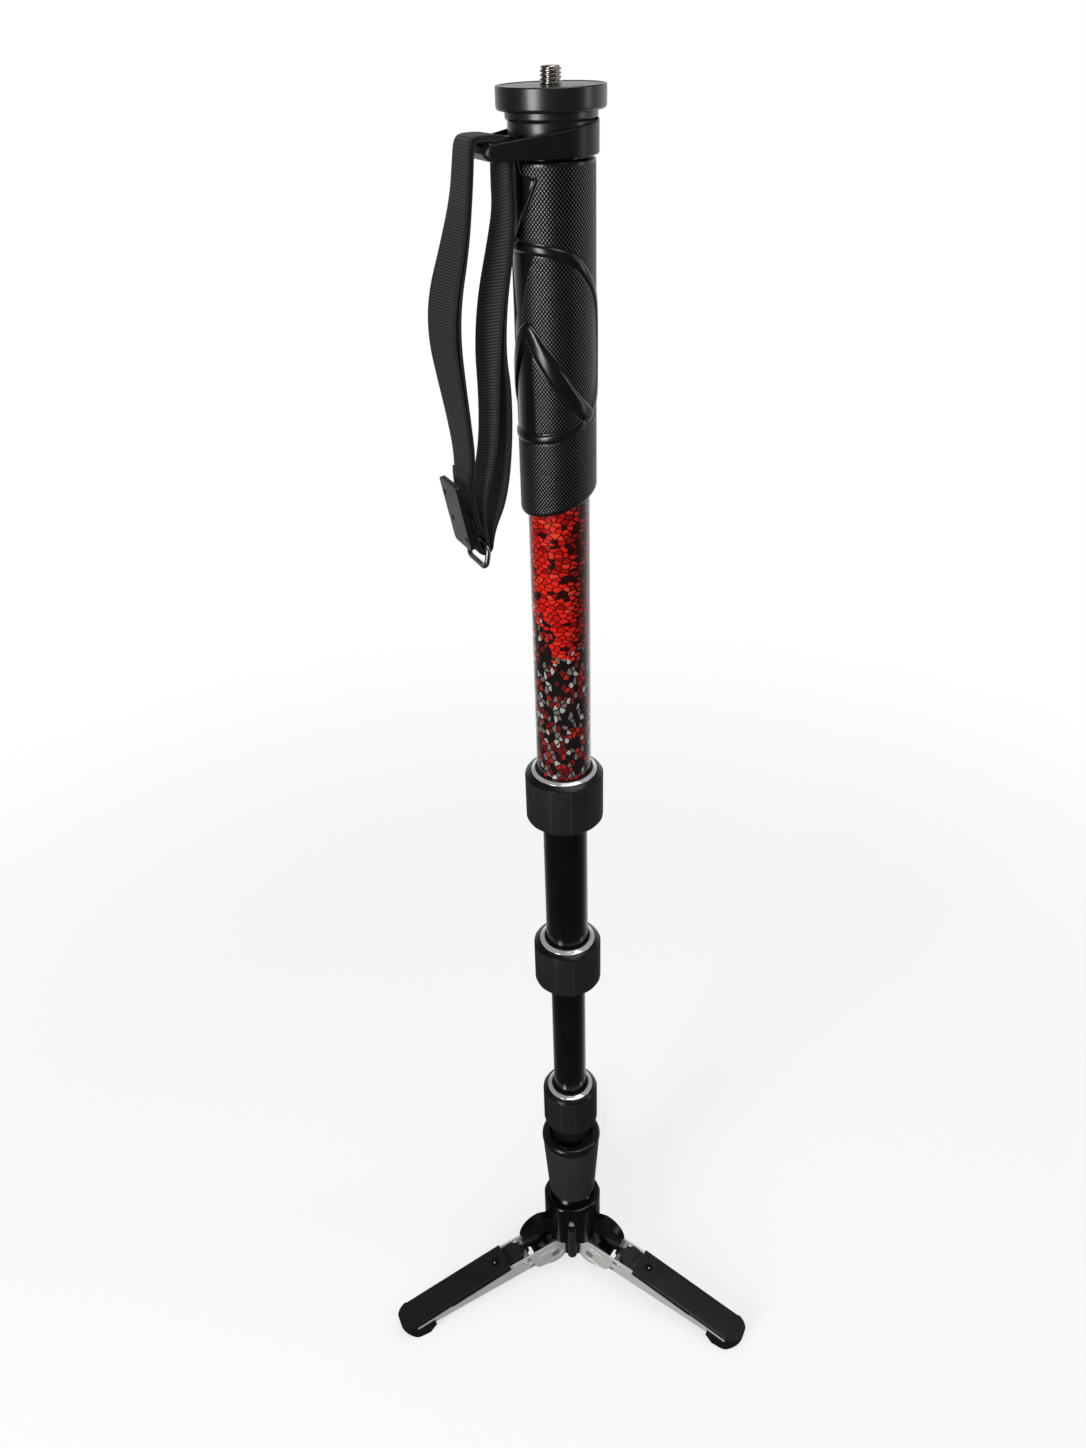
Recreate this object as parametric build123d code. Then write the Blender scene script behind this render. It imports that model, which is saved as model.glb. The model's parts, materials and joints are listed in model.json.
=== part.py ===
from build123d import *
import math
import os

# A camera monopod with a twist-lock column and a small three-legged base.
# Millimetres.  The origin is on the floor under the column, +Z is up, and the camera screw is on top.
# A leg and the strap lug are drawn along +X and turned to their azimuth, counted from -Y towards +X.

# Shared clearances
RUN_FIT = 0.05        # radial play of a turning or sliding fit
SIDE_PLAY = 0.3       # play beside a part that swings or slides
CUT_OVER = 1.0        # how far a cutting tool runs past the face it leaves

# Camera head
SCREW_DIAMETER = 9.525
SCREW_HEIGHT = 7.0
SCREW_CHAMFER = 0.8
SCREW_SHANK_RADIUS = 5.6      # where it is pressed into the plate
SCREW_FLANGE_RADIUS = 9.0
SCREW_FLANGE_THICKNESS = 2.0
PLATE_TOP_Z = 840.0
PLATE_DIAMETER = 49.0
PLATE_THICKNESS = 9.7
PLATE_EDGE = 1.1
JOURNAL_WALL = 3.5            # of the part that the strap collar sits on, over the top tube
NECK_FLARE = 1.1              # how far the neck stands out over that part
NECK_HEIGHT = 2.8
NECK_TAPER = 0.4
HEAD_PLUG_LENGTH = 30.0
TUBE_IN_HEAD = 7.5            # how far the top tube reaches into the head

# Strap collar and its lug
COLLAR_WALL = 1.6
COLLAR_HEIGHT = 14.4          # at its high edge
COLLAR_GAP = 0.2              # between the collar's high edge and the neck's flare
COLLAR_SLOPE_DEGREES = 7.5
LUG_AZIMUTH = -60.0
LUG_LENGTH = 17.1             # from the collar's wall to the lug's nose
LUG_NOSE_HEIGHT = 4.4         # height of the foremost point over the underside
LUG_CHIN = 2.8                # how far the underside stops short of the nose
LUG_BROW = 1.8                # how far the top edge stops short of the nose
LUG_BAR_HEIGHT = 8.6
LUG_BAR_DEPTH = 3.6
LUG_ARM = 3.0
SLOT_PLAY = 0.5               # room beside the webbing in the slot

# Webbing of the wrist strap
WEB_WIDTH = 18.0
WEB_THICKNESS = 1.3
WEB_BEND_SHARE = 0.42         # share of the shorter run that a bend may take
WEB_GAP = 0.06                # between the two layers
WEB_PARTING = 5.4             # widest gap between them, on the inner strand

# Strap buckle
BUCKLE_HALF_WIDTH = 10.5
BUCKLE_THICKNESS = 2.4
BUCKLE_TOP_RADIUS = 60.6      # from the column axis
BUCKLE_FOOT_RADIUS = 54.0
BUCKLE_FOOT_DROP = 176.0      # below the collar's underside
BUCKLE_RISE = 35.0            # height of its top end over its foot
BUCKLE_REST = 0.6             # between the plate and the webbing behind it, and between two runs
BUCKLE_CORNER = 2.5
BUCKLE_HOLE = 3.0
BUCKLE_HOLE_SHARES = ((0.78, -0.7), (0.4, -0.45), (0.17, 0.75))    # of its length and half width
RING_WIRE = 1.4
RING_INSET = 8.0              # from the buckle's foot towards the column
RING_RISE = 0.5               # over the buckle's foot
RING_HANG = 11.0
RING_LEAN_DEGREES = 10.0
RING_CORNER = 4.0
RING_SIDE_PLAY = 0.6

# Grip
GRIP_WALL = 4.4
GRIP_GAP = 1.0                # between the grip and the collar
GRIP_LENGTH = 159.8           # to the middle of the slanted lower end
GRIP_END_SLOPE_DEGREES = 17.2
GRIP_TOP_EDGE = 0.8

# Column tubes, from the widest
TUBE_DIAMETER = 32.2
TUBE_WALL = 1.2
TUBE_GAPS = (1.2, 0.95, 1.1)  # between the walls of a tube and the next one in it
TUBE_2_DROP = 110.0           # its top at rest, below the head's plug
TUBE_3_DROP = 145.0           # its top at rest, below the top of tube 2
TUBE_4_DROP = 60.0            # its top at rest, below the top of tube 3
TUBE_4_SEAT = 9.0             # its foot, over the spigot's foot
BUSH_HEIGHT = 20.0
BUSH_LIP = 1.5

# Twist locks, from the upper one
LOCK_SPACINGS = (135.9, 143.4)         # from each lock's top down to the next one's
COLLET_WALLS = (1.1, 1.2, 1.5)
LOCK_RING_WIDTHS = (2.4, 3.1, 3.0)
LOCK_SHOULDERS = (4.1, 4.2, 3.65)      # width of the bevel round the bright ring
LOCK_HEIGHT = 37.8
LOCK_RING_HEIGHT = 3.2
LOCK_RING_SLOPE = 1.2
LOCK_SHOULDER_DROP = 4.3
SLEEVE_THICKNESS = 2.2
SLEEVE_FLAT = 0.4
SLEEVE_SIDES = 12
SLEEVE_FOOT = 2.6
LOCK_FLOOR = 3.0
LOCK_LIP_INSET = 2.9
LOCK_LIP_ROUND = 1.4
LOCK_BORE_PLAY = 0.4
JAW_HEIGHT = 8.5
JAW_SLIT = 2.0
COLLET_PROUD = 0.5
TAPER_FOOT_RADIUS = 14.0
TAPER_HEIGHT = 14.2
TAPER_GAP = 1.5               # between the lowest lock and the boot's rim

# Boot and pan spigot above the ball joint
BOOT_OVERLAP = 1.5            # how far the boot reaches below the spigot's foot
BOOT_HEIGHT = 56.9
BOOT_FOOT_RADIUS = 17.5
BOOT_TOP_RADIUS = 21.2
BOOT_BORE_RADIUS = 14.0
BOOT_WEB = 6.0
BOOT_EDGE = 0.8
BOOT_RECESS_DEPTH = 2.4
RIM_RADIUS = 21.7
RIM_BORE_RADIUS = 15.5
RIM_HEIGHT = 7.1
RIM_ROUND = 3.0
SPIGOT_PLUG_LENGTH = 24.0

# Ball joint
BALL_RADIUS = 13.0
STEM_HEIGHT = 20.0            # from the ball's middle to the spigot's foot
STEM_RADIUS = 6.5
STEM_FLANGE_RADIUS = 12.0
STEM_FLANGE_THICKNESS = 2.0
PAN_SHAFT_RADIUS = 5.8
PAN_SHAFT_LENGTH = 27.0
SEAT_WALL = 4.5
SEAT_DEPTH = 19.5             # from the ball's middle to the seat's underside
SEAT_TOP_GAP = 1.5            # the seat ends this far under the ball's middle
RING_FOOT_GAP = 0.4           # the seat's ring starts this far under the ball's middle
DOME_WALL = 6.2
DOME_OPENING_RADIUS = 12.2
DOME_THROAT_RADIUS = 10.4

# Hub
HUB_WALL = 4.3
HUB_RIM_RISE = 11.5           # over the ball's middle
HUB_SLOT_PLAY = 0.7           # over a leg's pivot disc
HUB_FLOOR = 10.3              # thickness of the solid floor between the slots and the seat
HUB_FOOT_DROP = 3.0           # below the leg pivots
HUB_RIM_ROUND = 3.0
PILLAR_WIDTH = 10.8
PILLAR_INSET = 2.8            # from the hub's wall
PANEL_WIDTH = 15.8            # of the flat recess over a pillar
PANEL_DEPTH = 1.9             # at its middle
RIB_WIDTH = 7.3
RIB_PROUD = 0.4
RIB_RISE = 33.5               # over the leg pivots
HUB_SCREW_DROP = 5.4          # below the ball's middle
HUB_SCREW_HEAD_RADIUS = 2.3
HUB_SCREW_HEAD = 1.6
HUB_SCREW_RADIUS = 1.5
HUB_SCREW_PROUD = 0.9         # how far the head stands out of the panel
HUB_SCREW_SOCKET = 0.9

# Legs: one straight frame with its origin on the pivot, x outwards along the leg, h square to it
LEG_AZIMUTHS = (60.0, -60.0, 180.0)
LEG_SLOPE_DEGREES = 12.22
PIVOT_RADIUS_FROM_AXIS = 22.0
PIVOT_Z = 23.5
CHANNEL_HALF_WIDTH = 10.5
CHANNEL_WALL = 1.5
CHANNEL_DISC_RADIUS = 12.0
CHANNEL_TOP_H = 15.4
CHANNEL_END_X = 121.0
CHANNEL_STEP_X = 15.5
CHANNEL_STEP_H = -6.6
CHANNEL_EDGE_X = 19.0
CHANNEL_EDGE_H = -1.0
CHANNEL_FOOT_LENGTH = 13.1    # the straight foot of the side walls
CHANNEL_FOOT_H = 8.0
CHANNEL_FOOT_CUT = 3.0
WEB_START_X = 36.5
EMBOSS_DEPTH = 0.35
EMBOSS_HALF_WIDTH = 7.6
EMBOSS_RUN = 7.5
EMBOSS_LINE = 1.0
BOSS_RADIUS = 11.0
BOSS_CROWN_RADIUS = 15.0
EAR_HALF_WIDTH = 3.4
EAR_ARC_RADIUS = 16.4
EAR_ARC_OUT = 7.4             # centre of the ear's round edge, outwards from the pivot
EAR_ARC_UP = 21.8             # and over it
EAR_PIN_GAP = 1.4             # between the ear's foot and the catch pin
EAR_FOOT_H = 16.0
EAR_HEEL_X = 12.0
EAR_HEEL_H = 12.0
PIVOT_PIN_RADIUS = 3.2
PIVOT_PIN_PROUD = 0.7
STOP_RIVET_RADIUS = 1.7
STOP_RIVET_X = 20.4
STOP_RIVET_H = 2.2
CATCH_PIN_RADIUS = 1.8
CATCH_PIN_X = 20.8
CATCH_PIN_H = 10.6
CATCH_TRAVEL = 4.0
SLIDER_BLOCK = 4.2            # length of its full-width block
SLIDER_NOSE = 5.2             # length of its pointed nose
SLIDER_TAIL = 1.5             # how far it reaches under the channel's web
SLIDER_TOP_GAP = 0.2          # its top, below the channel's
SLIDER_PIN_DEPTH = 4.1        # its underside, below the catch pin
SLIDER_NOSE_HALF_WIDTH = 5.0
SLIDER_TONGUE_HALF_WIDTH = 2.4
COVER_THICKNESS = 2.2
COVER_LAP = 0.7               # thickness of its skirt beside the channel
COVER_SKIRT = 4.0
COVER_SKIRT_FAR = 3.0
COVER_STEP_X = 88.0
COVER_END_GAP = 2.0           # from the channel's end
COVER_EDGE = 1.6
COVER_PAD_X = 55.0            # where its raised pad starts
COVER_PAD_RISE = 0.5
COVER_SCREW_X = 45.0
COVER_SCREW_HEAD_RADIUS = 2.7
COVER_SCREW_HEAD = 0.7
COVER_SCREW_RADIUS = 1.5
COVER_SCREW_LENGTH = 5.0
COVER_SEAT = 0.6              # wall left under the screw head
COVER_HOLE_RADIUS = 3.25
FOOT_LAP = 0.8                # thickness of its lips beside the channel
FOOT_COVERED = 16.4           # length of the channel that it covers
FOOT_TOE = 8.2                # how far it stands out past the channel
FOOT_TAB_H = 5.2
FOOT_SOLE_SETBACK = 12.0      # where the sole starts, back from the channel's end
FOOT_TIP_H = 9.2
FOOT_TOP_INSET = 1.4
FOOT_SOLE_LENGTH = 11.0
FOOT_SIDE_H = 11.0            # the rubber's upper edge beside the steel


# Places, from the leg pivots up the base
BALL_Z = PIVOT_Z + CHANNEL_DISC_RADIUS + HUB_SLOT_PLAY + HUB_FLOOR + SEAT_DEPTH
HUB_FLOOR_Z = PIVOT_Z + CHANNEL_DISC_RADIUS + HUB_SLOT_PLAY
HUB_FOOT_Z = PIVOT_Z - HUB_FOOT_DROP
HUB_RIM_Z = BALL_Z + HUB_RIM_RISE
HUB_SCREW_Z = BALL_Z - HUB_SCREW_DROP
RIB_TOP_Z = PIVOT_Z + RIB_RISE
SEAT_BOTTOM_Z = BALL_Z - SEAT_DEPTH
RING_FOOT_Z = BALL_Z - RING_FOOT_GAP
SPIGOT_FOOT_Z = BALL_Z + STEM_HEIGHT
BOOT_FOOT_Z = SPIGOT_FOOT_Z - BOOT_OVERLAP
BOOT_TOP_Z = BOOT_FOOT_Z + BOOT_HEIGHT
SEAT_RADIUS = BALL_RADIUS + SEAT_WALL
DOME_RADIUS = BALL_RADIUS + DOME_WALL
HUB_RADIUS = SEAT_RADIUS + HUB_WALL
PANEL_REACH = HUB_RADIUS - PANEL_DEPTH
HUB_SCREW_FRONT = PANEL_REACH + HUB_SCREW_PROUD
EAR_ARC_X = PIVOT_RADIUS_FROM_AXIS + EAR_ARC_OUT
EAR_ARC_Z = PIVOT_Z + EAR_ARC_UP
EAR_FOOT_X = CATCH_PIN_X - CATCH_PIN_RADIUS - EAR_PIN_GAP

# Places down the head
SCREW_RADIUS = SCREW_DIAMETER / 2
PLATE_RADIUS = PLATE_DIAMETER / 2
PLATE_BOTTOM_Z = PLATE_TOP_Z - PLATE_THICKNESS
NECK_BOTTOM_Z = PLATE_BOTTOM_Z - NECK_HEIGHT
COLLAR_HIGH_Z = NECK_BOTTOM_Z - NECK_TAPER - COLLAR_GAP
COLLAR_BOTTOM_Z = COLLAR_HIGH_Z - COLLAR_HEIGHT
TUBE_1_TOP_Z = COLLAR_BOTTOM_Z + TUBE_IN_HEAD
HEAD_PLUG_Z = TUBE_1_TOP_Z - HEAD_PLUG_LENGTH
GRIP_TOP_Z = COLLAR_BOTTOM_Z - GRIP_GAP
GRIP_END_Z = GRIP_TOP_Z - GRIP_LENGTH
BUCKLE_FOOT_Z = COLLAR_BOTTOM_Z - BUCKLE_FOOT_DROP
BUCKLE_TOP_Z = BUCKLE_FOOT_Z + BUCKLE_RISE
RING_TOP_RADIUS = BUCKLE_FOOT_RADIUS - RING_INSET
RING_TOP_Z = BUCKLE_FOOT_Z + RING_RISE

# Radii of the column, from the top tube, and of what it carries
TUBE_RADII = [TUBE_DIAMETER / 2]
for gap in TUBE_GAPS:
    TUBE_RADII.append(TUBE_RADII[-1] - TUBE_WALL - gap)
HEAD_PLUG_RADIUS = TUBE_RADII[0] - TUBE_WALL
JOURNAL_RADIUS = TUBE_RADII[0] + JOURNAL_WALL
NECK_RADIUS = JOURNAL_RADIUS + NECK_FLARE
COLLAR_RADIUS = JOURNAL_RADIUS + COLLAR_WALL
LUG_REACH = COLLAR_RADIUS + LUG_LENGTH
GRIP_RADIUS = TUBE_RADII[0] + GRIP_WALL
LOCK_RING_INNER_RADII = [r + wall for r, wall in zip(TUBE_RADII, COLLET_WALLS)]
LOCK_RING_OUTER_RADII = [r + width for r, width in zip(LOCK_RING_INNER_RADII, LOCK_RING_WIDTHS)]
LOCK_RADII = [r + width for r, width in zip(LOCK_RING_OUTER_RADII, LOCK_SHOULDERS)]

# Heights of the locks and tubes
LOWEST_LOCK_TOP_Z = BOOT_TOP_Z + RIM_HEIGHT + TAPER_GAP + TAPER_HEIGHT + LOCK_HEIGHT
LOCK_TOPS_Z = [LOWEST_LOCK_TOP_Z + sum(LOCK_SPACINGS[i:]) for i in range(len(LOCK_SPACINGS) + 1)]
LOCK_BOTTOMS_Z = [top - LOCK_HEIGHT for top in LOCK_TOPS_Z]
TUBE_4_FOOT_Z = SPIGOT_FOOT_Z + TUBE_4_SEAT
TUBE_2_TOP_Z = HEAD_PLUG_Z - TUBE_2_DROP
TUBE_3_TOP_Z = TUBE_2_TOP_Z - TUBE_3_DROP
TUBE_TOPS_Z = (TUBE_1_TOP_Z, TUBE_2_TOP_Z, TUBE_3_TOP_Z, TUBE_3_TOP_Z - TUBE_4_DROP)
TUBE_ENDS_Z = [bottom + LOCK_FLOOR + JAW_HEIGHT for bottom in LOCK_BOTTOMS_Z] + [TUBE_4_FOOT_Z]

# Layers of the webbing, as distances from the strap's route
LAYER_MIDDLE = (WEB_GAP + WEB_THICKNESS) / 2
LAYER_OUTER = LAYER_MIDDLE + WEB_THICKNESS / 2

# Places along a leg, in its straight frame
COVER_TOP_H = CHANNEL_TOP_H + COVER_THICKNESS
COVER_HALF_WIDTH = CHANNEL_HALF_WIDTH + COVER_LAP
COVER_END_X = CHANNEL_END_X - COVER_END_GAP
FOOT_HALF_WIDTH = CHANNEL_HALF_WIDTH + FOOT_LAP
FOOT_START_X = CHANNEL_END_X - FOOT_COVERED
FOOT_TIP_X = CHANNEL_END_X + FOOT_TOE
FOOT_SOLE_START_RADIUS = PIVOT_RADIUS_FROM_AXIS + CHANNEL_END_X - FOOT_SOLE_SETBACK
CHANNEL_FOOT_X = CHANNEL_END_X - CHANNEL_FOOT_LENGTH
SLIDER_TOP_H = CHANNEL_TOP_H - SLIDER_TOP_GAP
SLIDER_BOTTOM_H = CATCH_PIN_H - SLIDER_PIN_DEPTH
SLIDER_BACK_X = WEB_START_X - CATCH_TRAVEL - SIDE_PLAY
SLIDER_SHOULDER_X = SLIDER_BACK_X - SLIDER_BLOCK
SLIDER_NOSE_X = SLIDER_SHOULDER_X - SLIDER_NOSE
SLIDER_TAIL_X = WEB_START_X + SLIDER_TAIL


def ring(outer, inner, low, high):
    """A plain ring about the column axis."""
    body = Pos(0, 0, low) * Cylinder(outer, high - low, align=(Align.CENTER, Align.CENTER, Align.MIN))
    bore = Pos(0, 0, low - CUT_OVER) * Cylinder(
        inner, high - low + 2 * CUT_OVER, align=(Align.CENTER, Align.CENTER, Align.MIN))
    return body - bore


def disc(radius, low, high):
    """A plain cylinder about the column axis."""
    return Pos(0, 0, low) * Cylinder(radius, high - low, align=(Align.CENTER, Align.CENTER, Align.MIN))


def turned(*points):
    """A solid of revolution about the column axis from (radius, z) corners."""
    outline = Polyline(*[(r, 0, z) for r, z in points], close=True)
    return revolve(make_face(outline), Axis.Z)


def slab(points, half_width):
    """A flat (x, z) outline made thick to both sides of the leg plane."""
    face = make_face(Polyline(*[(x, 0, z) for x, z in points], close=True))
    return extrude(face, amount=half_width, dir=(0, 1, 0), both=True)


def cross_pin(radius, x, z, half_length):
    """A pin that runs across the leg plane."""
    return Pos(x, 0, z) * Rot(90, 0, 0) * Cylinder(radius, 2 * half_length)


def box_span(x0, x1, half_width, z0, z1):
    return Pos((x0 + x1) / 2, 0, (z0 + z1) / 2) * Box(x1 - x0, 2 * half_width, z1 - z0)


def to_azimuth(shape, azimuth):
    """Turn a shape drawn along +X to its azimuth, counted from -Y towards +X."""
    return Rot(0, 0, azimuth - 90) * shape


def on_leg(shape):
    """Carry a shape from the leg's straight frame to the sloping leg at +X."""
    return Pos(PIVOT_RADIUS_FROM_AXIS, 0, PIVOT_Z) * Rot(0, LEG_SLOPE_DEGREES, 0) * shape


def leg_frame(r, z):
    """A point given from the column axis and the floor, in the leg's straight frame."""
    slope = math.radians(LEG_SLOPE_DEGREES)
    dx = r - PIVOT_RADIUS_FROM_AXIS
    dz = z - PIVOT_Z
    return dx * math.cos(slope) - dz * math.sin(slope), dx * math.sin(slope) + dz * math.cos(slope)


# Camera head
def camera_stud():
    shaft = disc(SCREW_RADIUS, PLATE_TOP_Z, PLATE_TOP_Z + SCREW_HEIGHT)
    shaft = chamfer(shaft.edges().sort_by(Axis.Z)[-1], SCREW_CHAMFER)
    shaft += disc(SCREW_SHANK_RADIUS, PLATE_BOTTOM_Z, PLATE_TOP_Z)
    return shaft + disc(SCREW_FLANGE_RADIUS, PLATE_BOTTOM_Z - SCREW_FLANGE_THICKNESS, PLATE_BOTTOM_Z)


def camera_plate():
    plate = disc(PLATE_RADIUS, PLATE_BOTTOM_Z, PLATE_TOP_Z)
    plate = fillet(plate.edges().filter_by(GeomType.CIRCLE), PLATE_EDGE)
    return plate - disc(SCREW_SHANK_RADIUS, PLATE_BOTTOM_Z - CUT_OVER, PLATE_TOP_Z + CUT_OVER)


def head_neck():
    neck = turned(
        (0, HEAD_PLUG_Z), (HEAD_PLUG_RADIUS, HEAD_PLUG_Z),
        (HEAD_PLUG_RADIUS, TUBE_1_TOP_Z), (TUBE_RADII[0], TUBE_1_TOP_Z),
        (TUBE_RADII[0], COLLAR_BOTTOM_Z), (JOURNAL_RADIUS, COLLAR_BOTTOM_Z),
        (JOURNAL_RADIUS, NECK_BOTTOM_Z - NECK_TAPER), (NECK_RADIUS, NECK_BOTTOM_Z),
        (NECK_RADIUS, PLATE_BOTTOM_Z), (0, PLATE_BOTTOM_Z))
    flange_seat = PLATE_BOTTOM_Z - SCREW_FLANGE_THICKNESS
    return neck - disc(SCREW_FLANGE_RADIUS, flange_seat, PLATE_BOTTOM_Z + CUT_OVER)


def strap_collar():
    """The collar, its two arms and the bar, under one top that slopes down to the lug."""
    rise = math.tan(math.radians(COLLAR_SLOPE_DEGREES))
    side = LUG_REACH + CUT_OVER
    bar_top = COLLAR_BOTTOM_Z + LUG_BAR_HEIGHT
    arm_half = WEB_WIDTH / 2 + SLOT_PLAY + LUG_ARM
    lug = slab([
        (0, COLLAR_BOTTOM_Z), (LUG_REACH - LUG_CHIN, COLLAR_BOTTOM_Z),
        (LUG_REACH, COLLAR_BOTTOM_Z + LUG_NOSE_HEIGHT), (LUG_REACH - LUG_BROW, bar_top),
        (0, COLLAR_HIGH_Z)], arm_half)
    slot = box_span(COLLAR_RADIUS, LUG_REACH - LUG_BAR_DEPTH, WEB_WIDTH / 2 + SLOT_PLAY,
                    COLLAR_BOTTOM_Z - CUT_OVER, COLLAR_HIGH_Z + CUT_OVER)
    body = disc(COLLAR_RADIUS, COLLAR_BOTTOM_Z, COLLAR_HIGH_Z) + lug - slot
    back_z = COLLAR_HIGH_Z + rise * (side - COLLAR_RADIUS)
    front_z = COLLAR_HIGH_Z - rise * (side + COLLAR_RADIUS)
    over_z = COLLAR_HIGH_Z + side
    top = slab([(-side, back_z), (side, front_z), (side, over_z), (-side, over_z)], side)
    bore = disc(JOURNAL_RADIUS, COLLAR_BOTTOM_Z - CUT_OVER, COLLAR_HIGH_Z + CUT_OVER)
    return to_azimuth(body - top - bore, LUG_AZIMUTH)


# Wrist strap.  Its route lies in the lug's plane: from behind the buckle up the outer strand, over the
# bar, down through the slot and the inner strand, round the ring and back behind the buckle.
# The points are (outwards from the collar's wall, down from its underside), in two stretches.
STRAND_POINTS = [
    (30.6, 129.5), (32.0, 111.5), (34.4, 92.5), (36.1, 73.5), (34.8, 55.5), (29.0, 34.5), (24.4, 15.5),
    (22.4, 0.5), (19.8, -8.4), (9.8, -9.2), (3.6, -7.6), (4.0, 8.5), (3.7, 21.5), (6.6, 37.5),
    (11.4, 59.5), (13.6, 81.5), (13.3, 104.5), (14.0, 129.5)]
# The lower fold round the ring, as (towards the column from the buckle's foot, down from it)
FOLD_POINTS = [(17.4, -20.5), (15.2, -6.5), (11.4, 2.9), (5.4, 3.9)]
OUTER_RUN_SHARES = (0.2, 0.86)   # of the buckle's length, up from its foot
INNER_RUN_SHARES = (0.1, 0.44)
# How far the two layers stand apart, as a share of the widest parting, at the route's last points
PARTING_SHARES = (0.18, 0.45, 0.8, 1.0, 0.9, 0.45, 0.12, 0, 0, 0)


def behind_buckle(share, run):
    """A point of the route behind the buckle plate, on the nearest run of webbing or the next."""
    foot = BUCKLE_FOOT_RADIUS, BUCKLE_FOOT_Z
    along = unit(foot, (BUCKLE_TOP_RADIUS, BUCKLE_TOP_Z))
    reach = share * math.dist(foot, (BUCKLE_TOP_RADIUS, BUCKLE_TOP_Z))
    back = BUCKLE_THICKNESS / 2 - LAYER_OUTER + run * (BUCKLE_REST + 2 * LAYER_OUTER)
    return foot[0] + along[0] * reach - along[1] * back, foot[1] + along[1] * reach + along[0] * back


def strap_route():
    """The webbing's middle line, as (distance from the axis, z)."""
    strands = [(COLLAR_RADIUS + out, COLLAR_BOTTOM_Z - down) for out, down in STRAND_POINTS]
    fold = [(BUCKLE_FOOT_RADIUS - back, BUCKLE_FOOT_Z - down) for back, down in FOLD_POINTS]
    start = [behind_buckle(share, 2) for share in OUTER_RUN_SHARES]
    end = [behind_buckle(share, 1) for share in INNER_RUN_SHARES]
    return start + strands + fold + end


def unit(a, b):
    length = math.dist(a, b)
    return (b[0] - a[0]) / length, (b[1] - a[1]) / length


def side_line(route, offsets):
    """The route moved sideways by its own offset at each point, with mitred corners."""
    points = []
    for i, (here, offset) in enumerate(zip(route, offsets)):
        before = unit(route[i - 1], here) if i else unit(here, route[1])
        after = unit(here, route[i + 1]) if i < len(route) - 1 else before
        mean = before[0] + after[0], before[1] + after[1]
        scale = math.hypot(*mean)
        mean = mean[0] / scale, mean[1] / scale
        reach = offset / (mean[0] * before[0] + mean[1] * before[1])
        points.append((here[0] - mean[1] * reach, here[1] + mean[0] * reach))
    return points


def turn_angles(route):
    """The signed turn at each inner point of the route."""
    turns = []
    for a, b, c in zip(route, route[1:], route[2:]):
        u = unit(a, b)
        v = unit(b, c)
        turns.append(math.atan2(u[0] * v[1] - u[1] * v[0], u[0] * v[0] + u[1] * v[1]))
    return turns


def bend_radii(route):
    """The bend radius at each inner point of the route's middle line."""
    radii = []
    for i, turn in enumerate(turn_angles(route)):
        shorter = min(math.dist(route[i], route[i + 1]), math.dist(route[i + 1], route[i + 2]))
        radii.append(WEB_BEND_SHARE * shorter / math.tan(abs(turn) / 2))
    return radii


def layer_route(side):
    """The middle line of one layer, which leaves the other one on the inner strand."""
    route = strap_route()
    depths = [LAYER_MIDDLE] * (len(route) - len(PARTING_SHARES))
    depths += [LAYER_MIDDLE + share * WEB_PARTING / 2 for share in PARTING_SHARES]
    return side_line(route, [side * depth for depth in depths])


def web_layer(side):
    """One layer of the webbing: side -1 is the loop's outer one and side 1 its inner one."""
    route = layer_route(side)
    turns = turn_angles(route)
    radii = bend_radii(route)
    edges = []
    ends = []
    for offset in (-WEB_THICKNESS / 2, WEB_THICKNESS / 2):
        line = side_line(route, [offset] * len(route))
        bends = [r - offset * math.copysign(1, t) for r, t in zip(radii, turns)]
        edges.append(FilletPolyline(*[(x, 0, z) for x, z in line], radius=bends))
        ends.append([(line[0][0], 0, line[0][1]), (line[-1][0], 0, line[-1][1])])
    edges.append(Line(ends[0][0], ends[1][0]))
    edges.append(Line(ends[0][1], ends[1][1]))
    face = make_face([edge for part in edges for edge in part.edges()])
    ribbon = extrude(face, amount=WEB_WIDTH / 2, dir=(0, 1, 0), both=True)
    return to_azimuth(ribbon, LUG_AZIMUTH)


def buckle_plate():
    length = math.dist((BUCKLE_TOP_RADIUS, BUCKLE_TOP_Z), (BUCKLE_FOOT_RADIUS, BUCKLE_FOOT_Z))
    lean = math.degrees(math.atan2(BUCKLE_TOP_RADIUS - BUCKLE_FOOT_RADIUS, BUCKLE_RISE))
    plate = Box(BUCKLE_THICKNESS, 2 * BUCKLE_HALF_WIDTH, length,
                align=(Align.CENTER, Align.CENTER, Align.MIN))
    plate = fillet(plate.edges().filter_by(Axis.X), BUCKLE_CORNER)
    for up_share, side_share in BUCKLE_HOLE_SHARES:
        plate -= Pos(0, side_share * BUCKLE_HALF_WIDTH, up_share * length) * Rot(0, 90, 0) * Cylinder(
            BUCKLE_HOLE / 2, BUCKLE_THICKNESS + 2 * CUT_OVER)
    plate = Pos(BUCKLE_FOOT_RADIUS, 0, BUCKLE_FOOT_Z) * Rot(0, lean, 0) * plate
    return to_azimuth(plate, LUG_AZIMUTH)


def buckle_ring():
    """A rectangular wire ring with round corners, hung in the lower fold."""
    half = WEB_WIDTH / 2 + RING_SIDE_PLAY + RING_WIRE
    path = Plane.YZ * RectangleRounded(2 * half, RING_HANG, RING_CORNER)
    start = path.wire() @ 0
    section = Plane(origin=start, z_dir=path.wire() % 0) * Circle(RING_WIRE)
    wire = sweep(section, path=path.wire(), transition=Transition.TRANSFORMED)
    leaning = Rot(0, -RING_LEAN_DEGREES, 0) * Pos(0, 0, -RING_HANG / 2) * wire
    return to_azimuth(Pos(RING_TOP_RADIUS, 0, RING_TOP_Z) * leaning, LUG_AZIMUTH)


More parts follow.
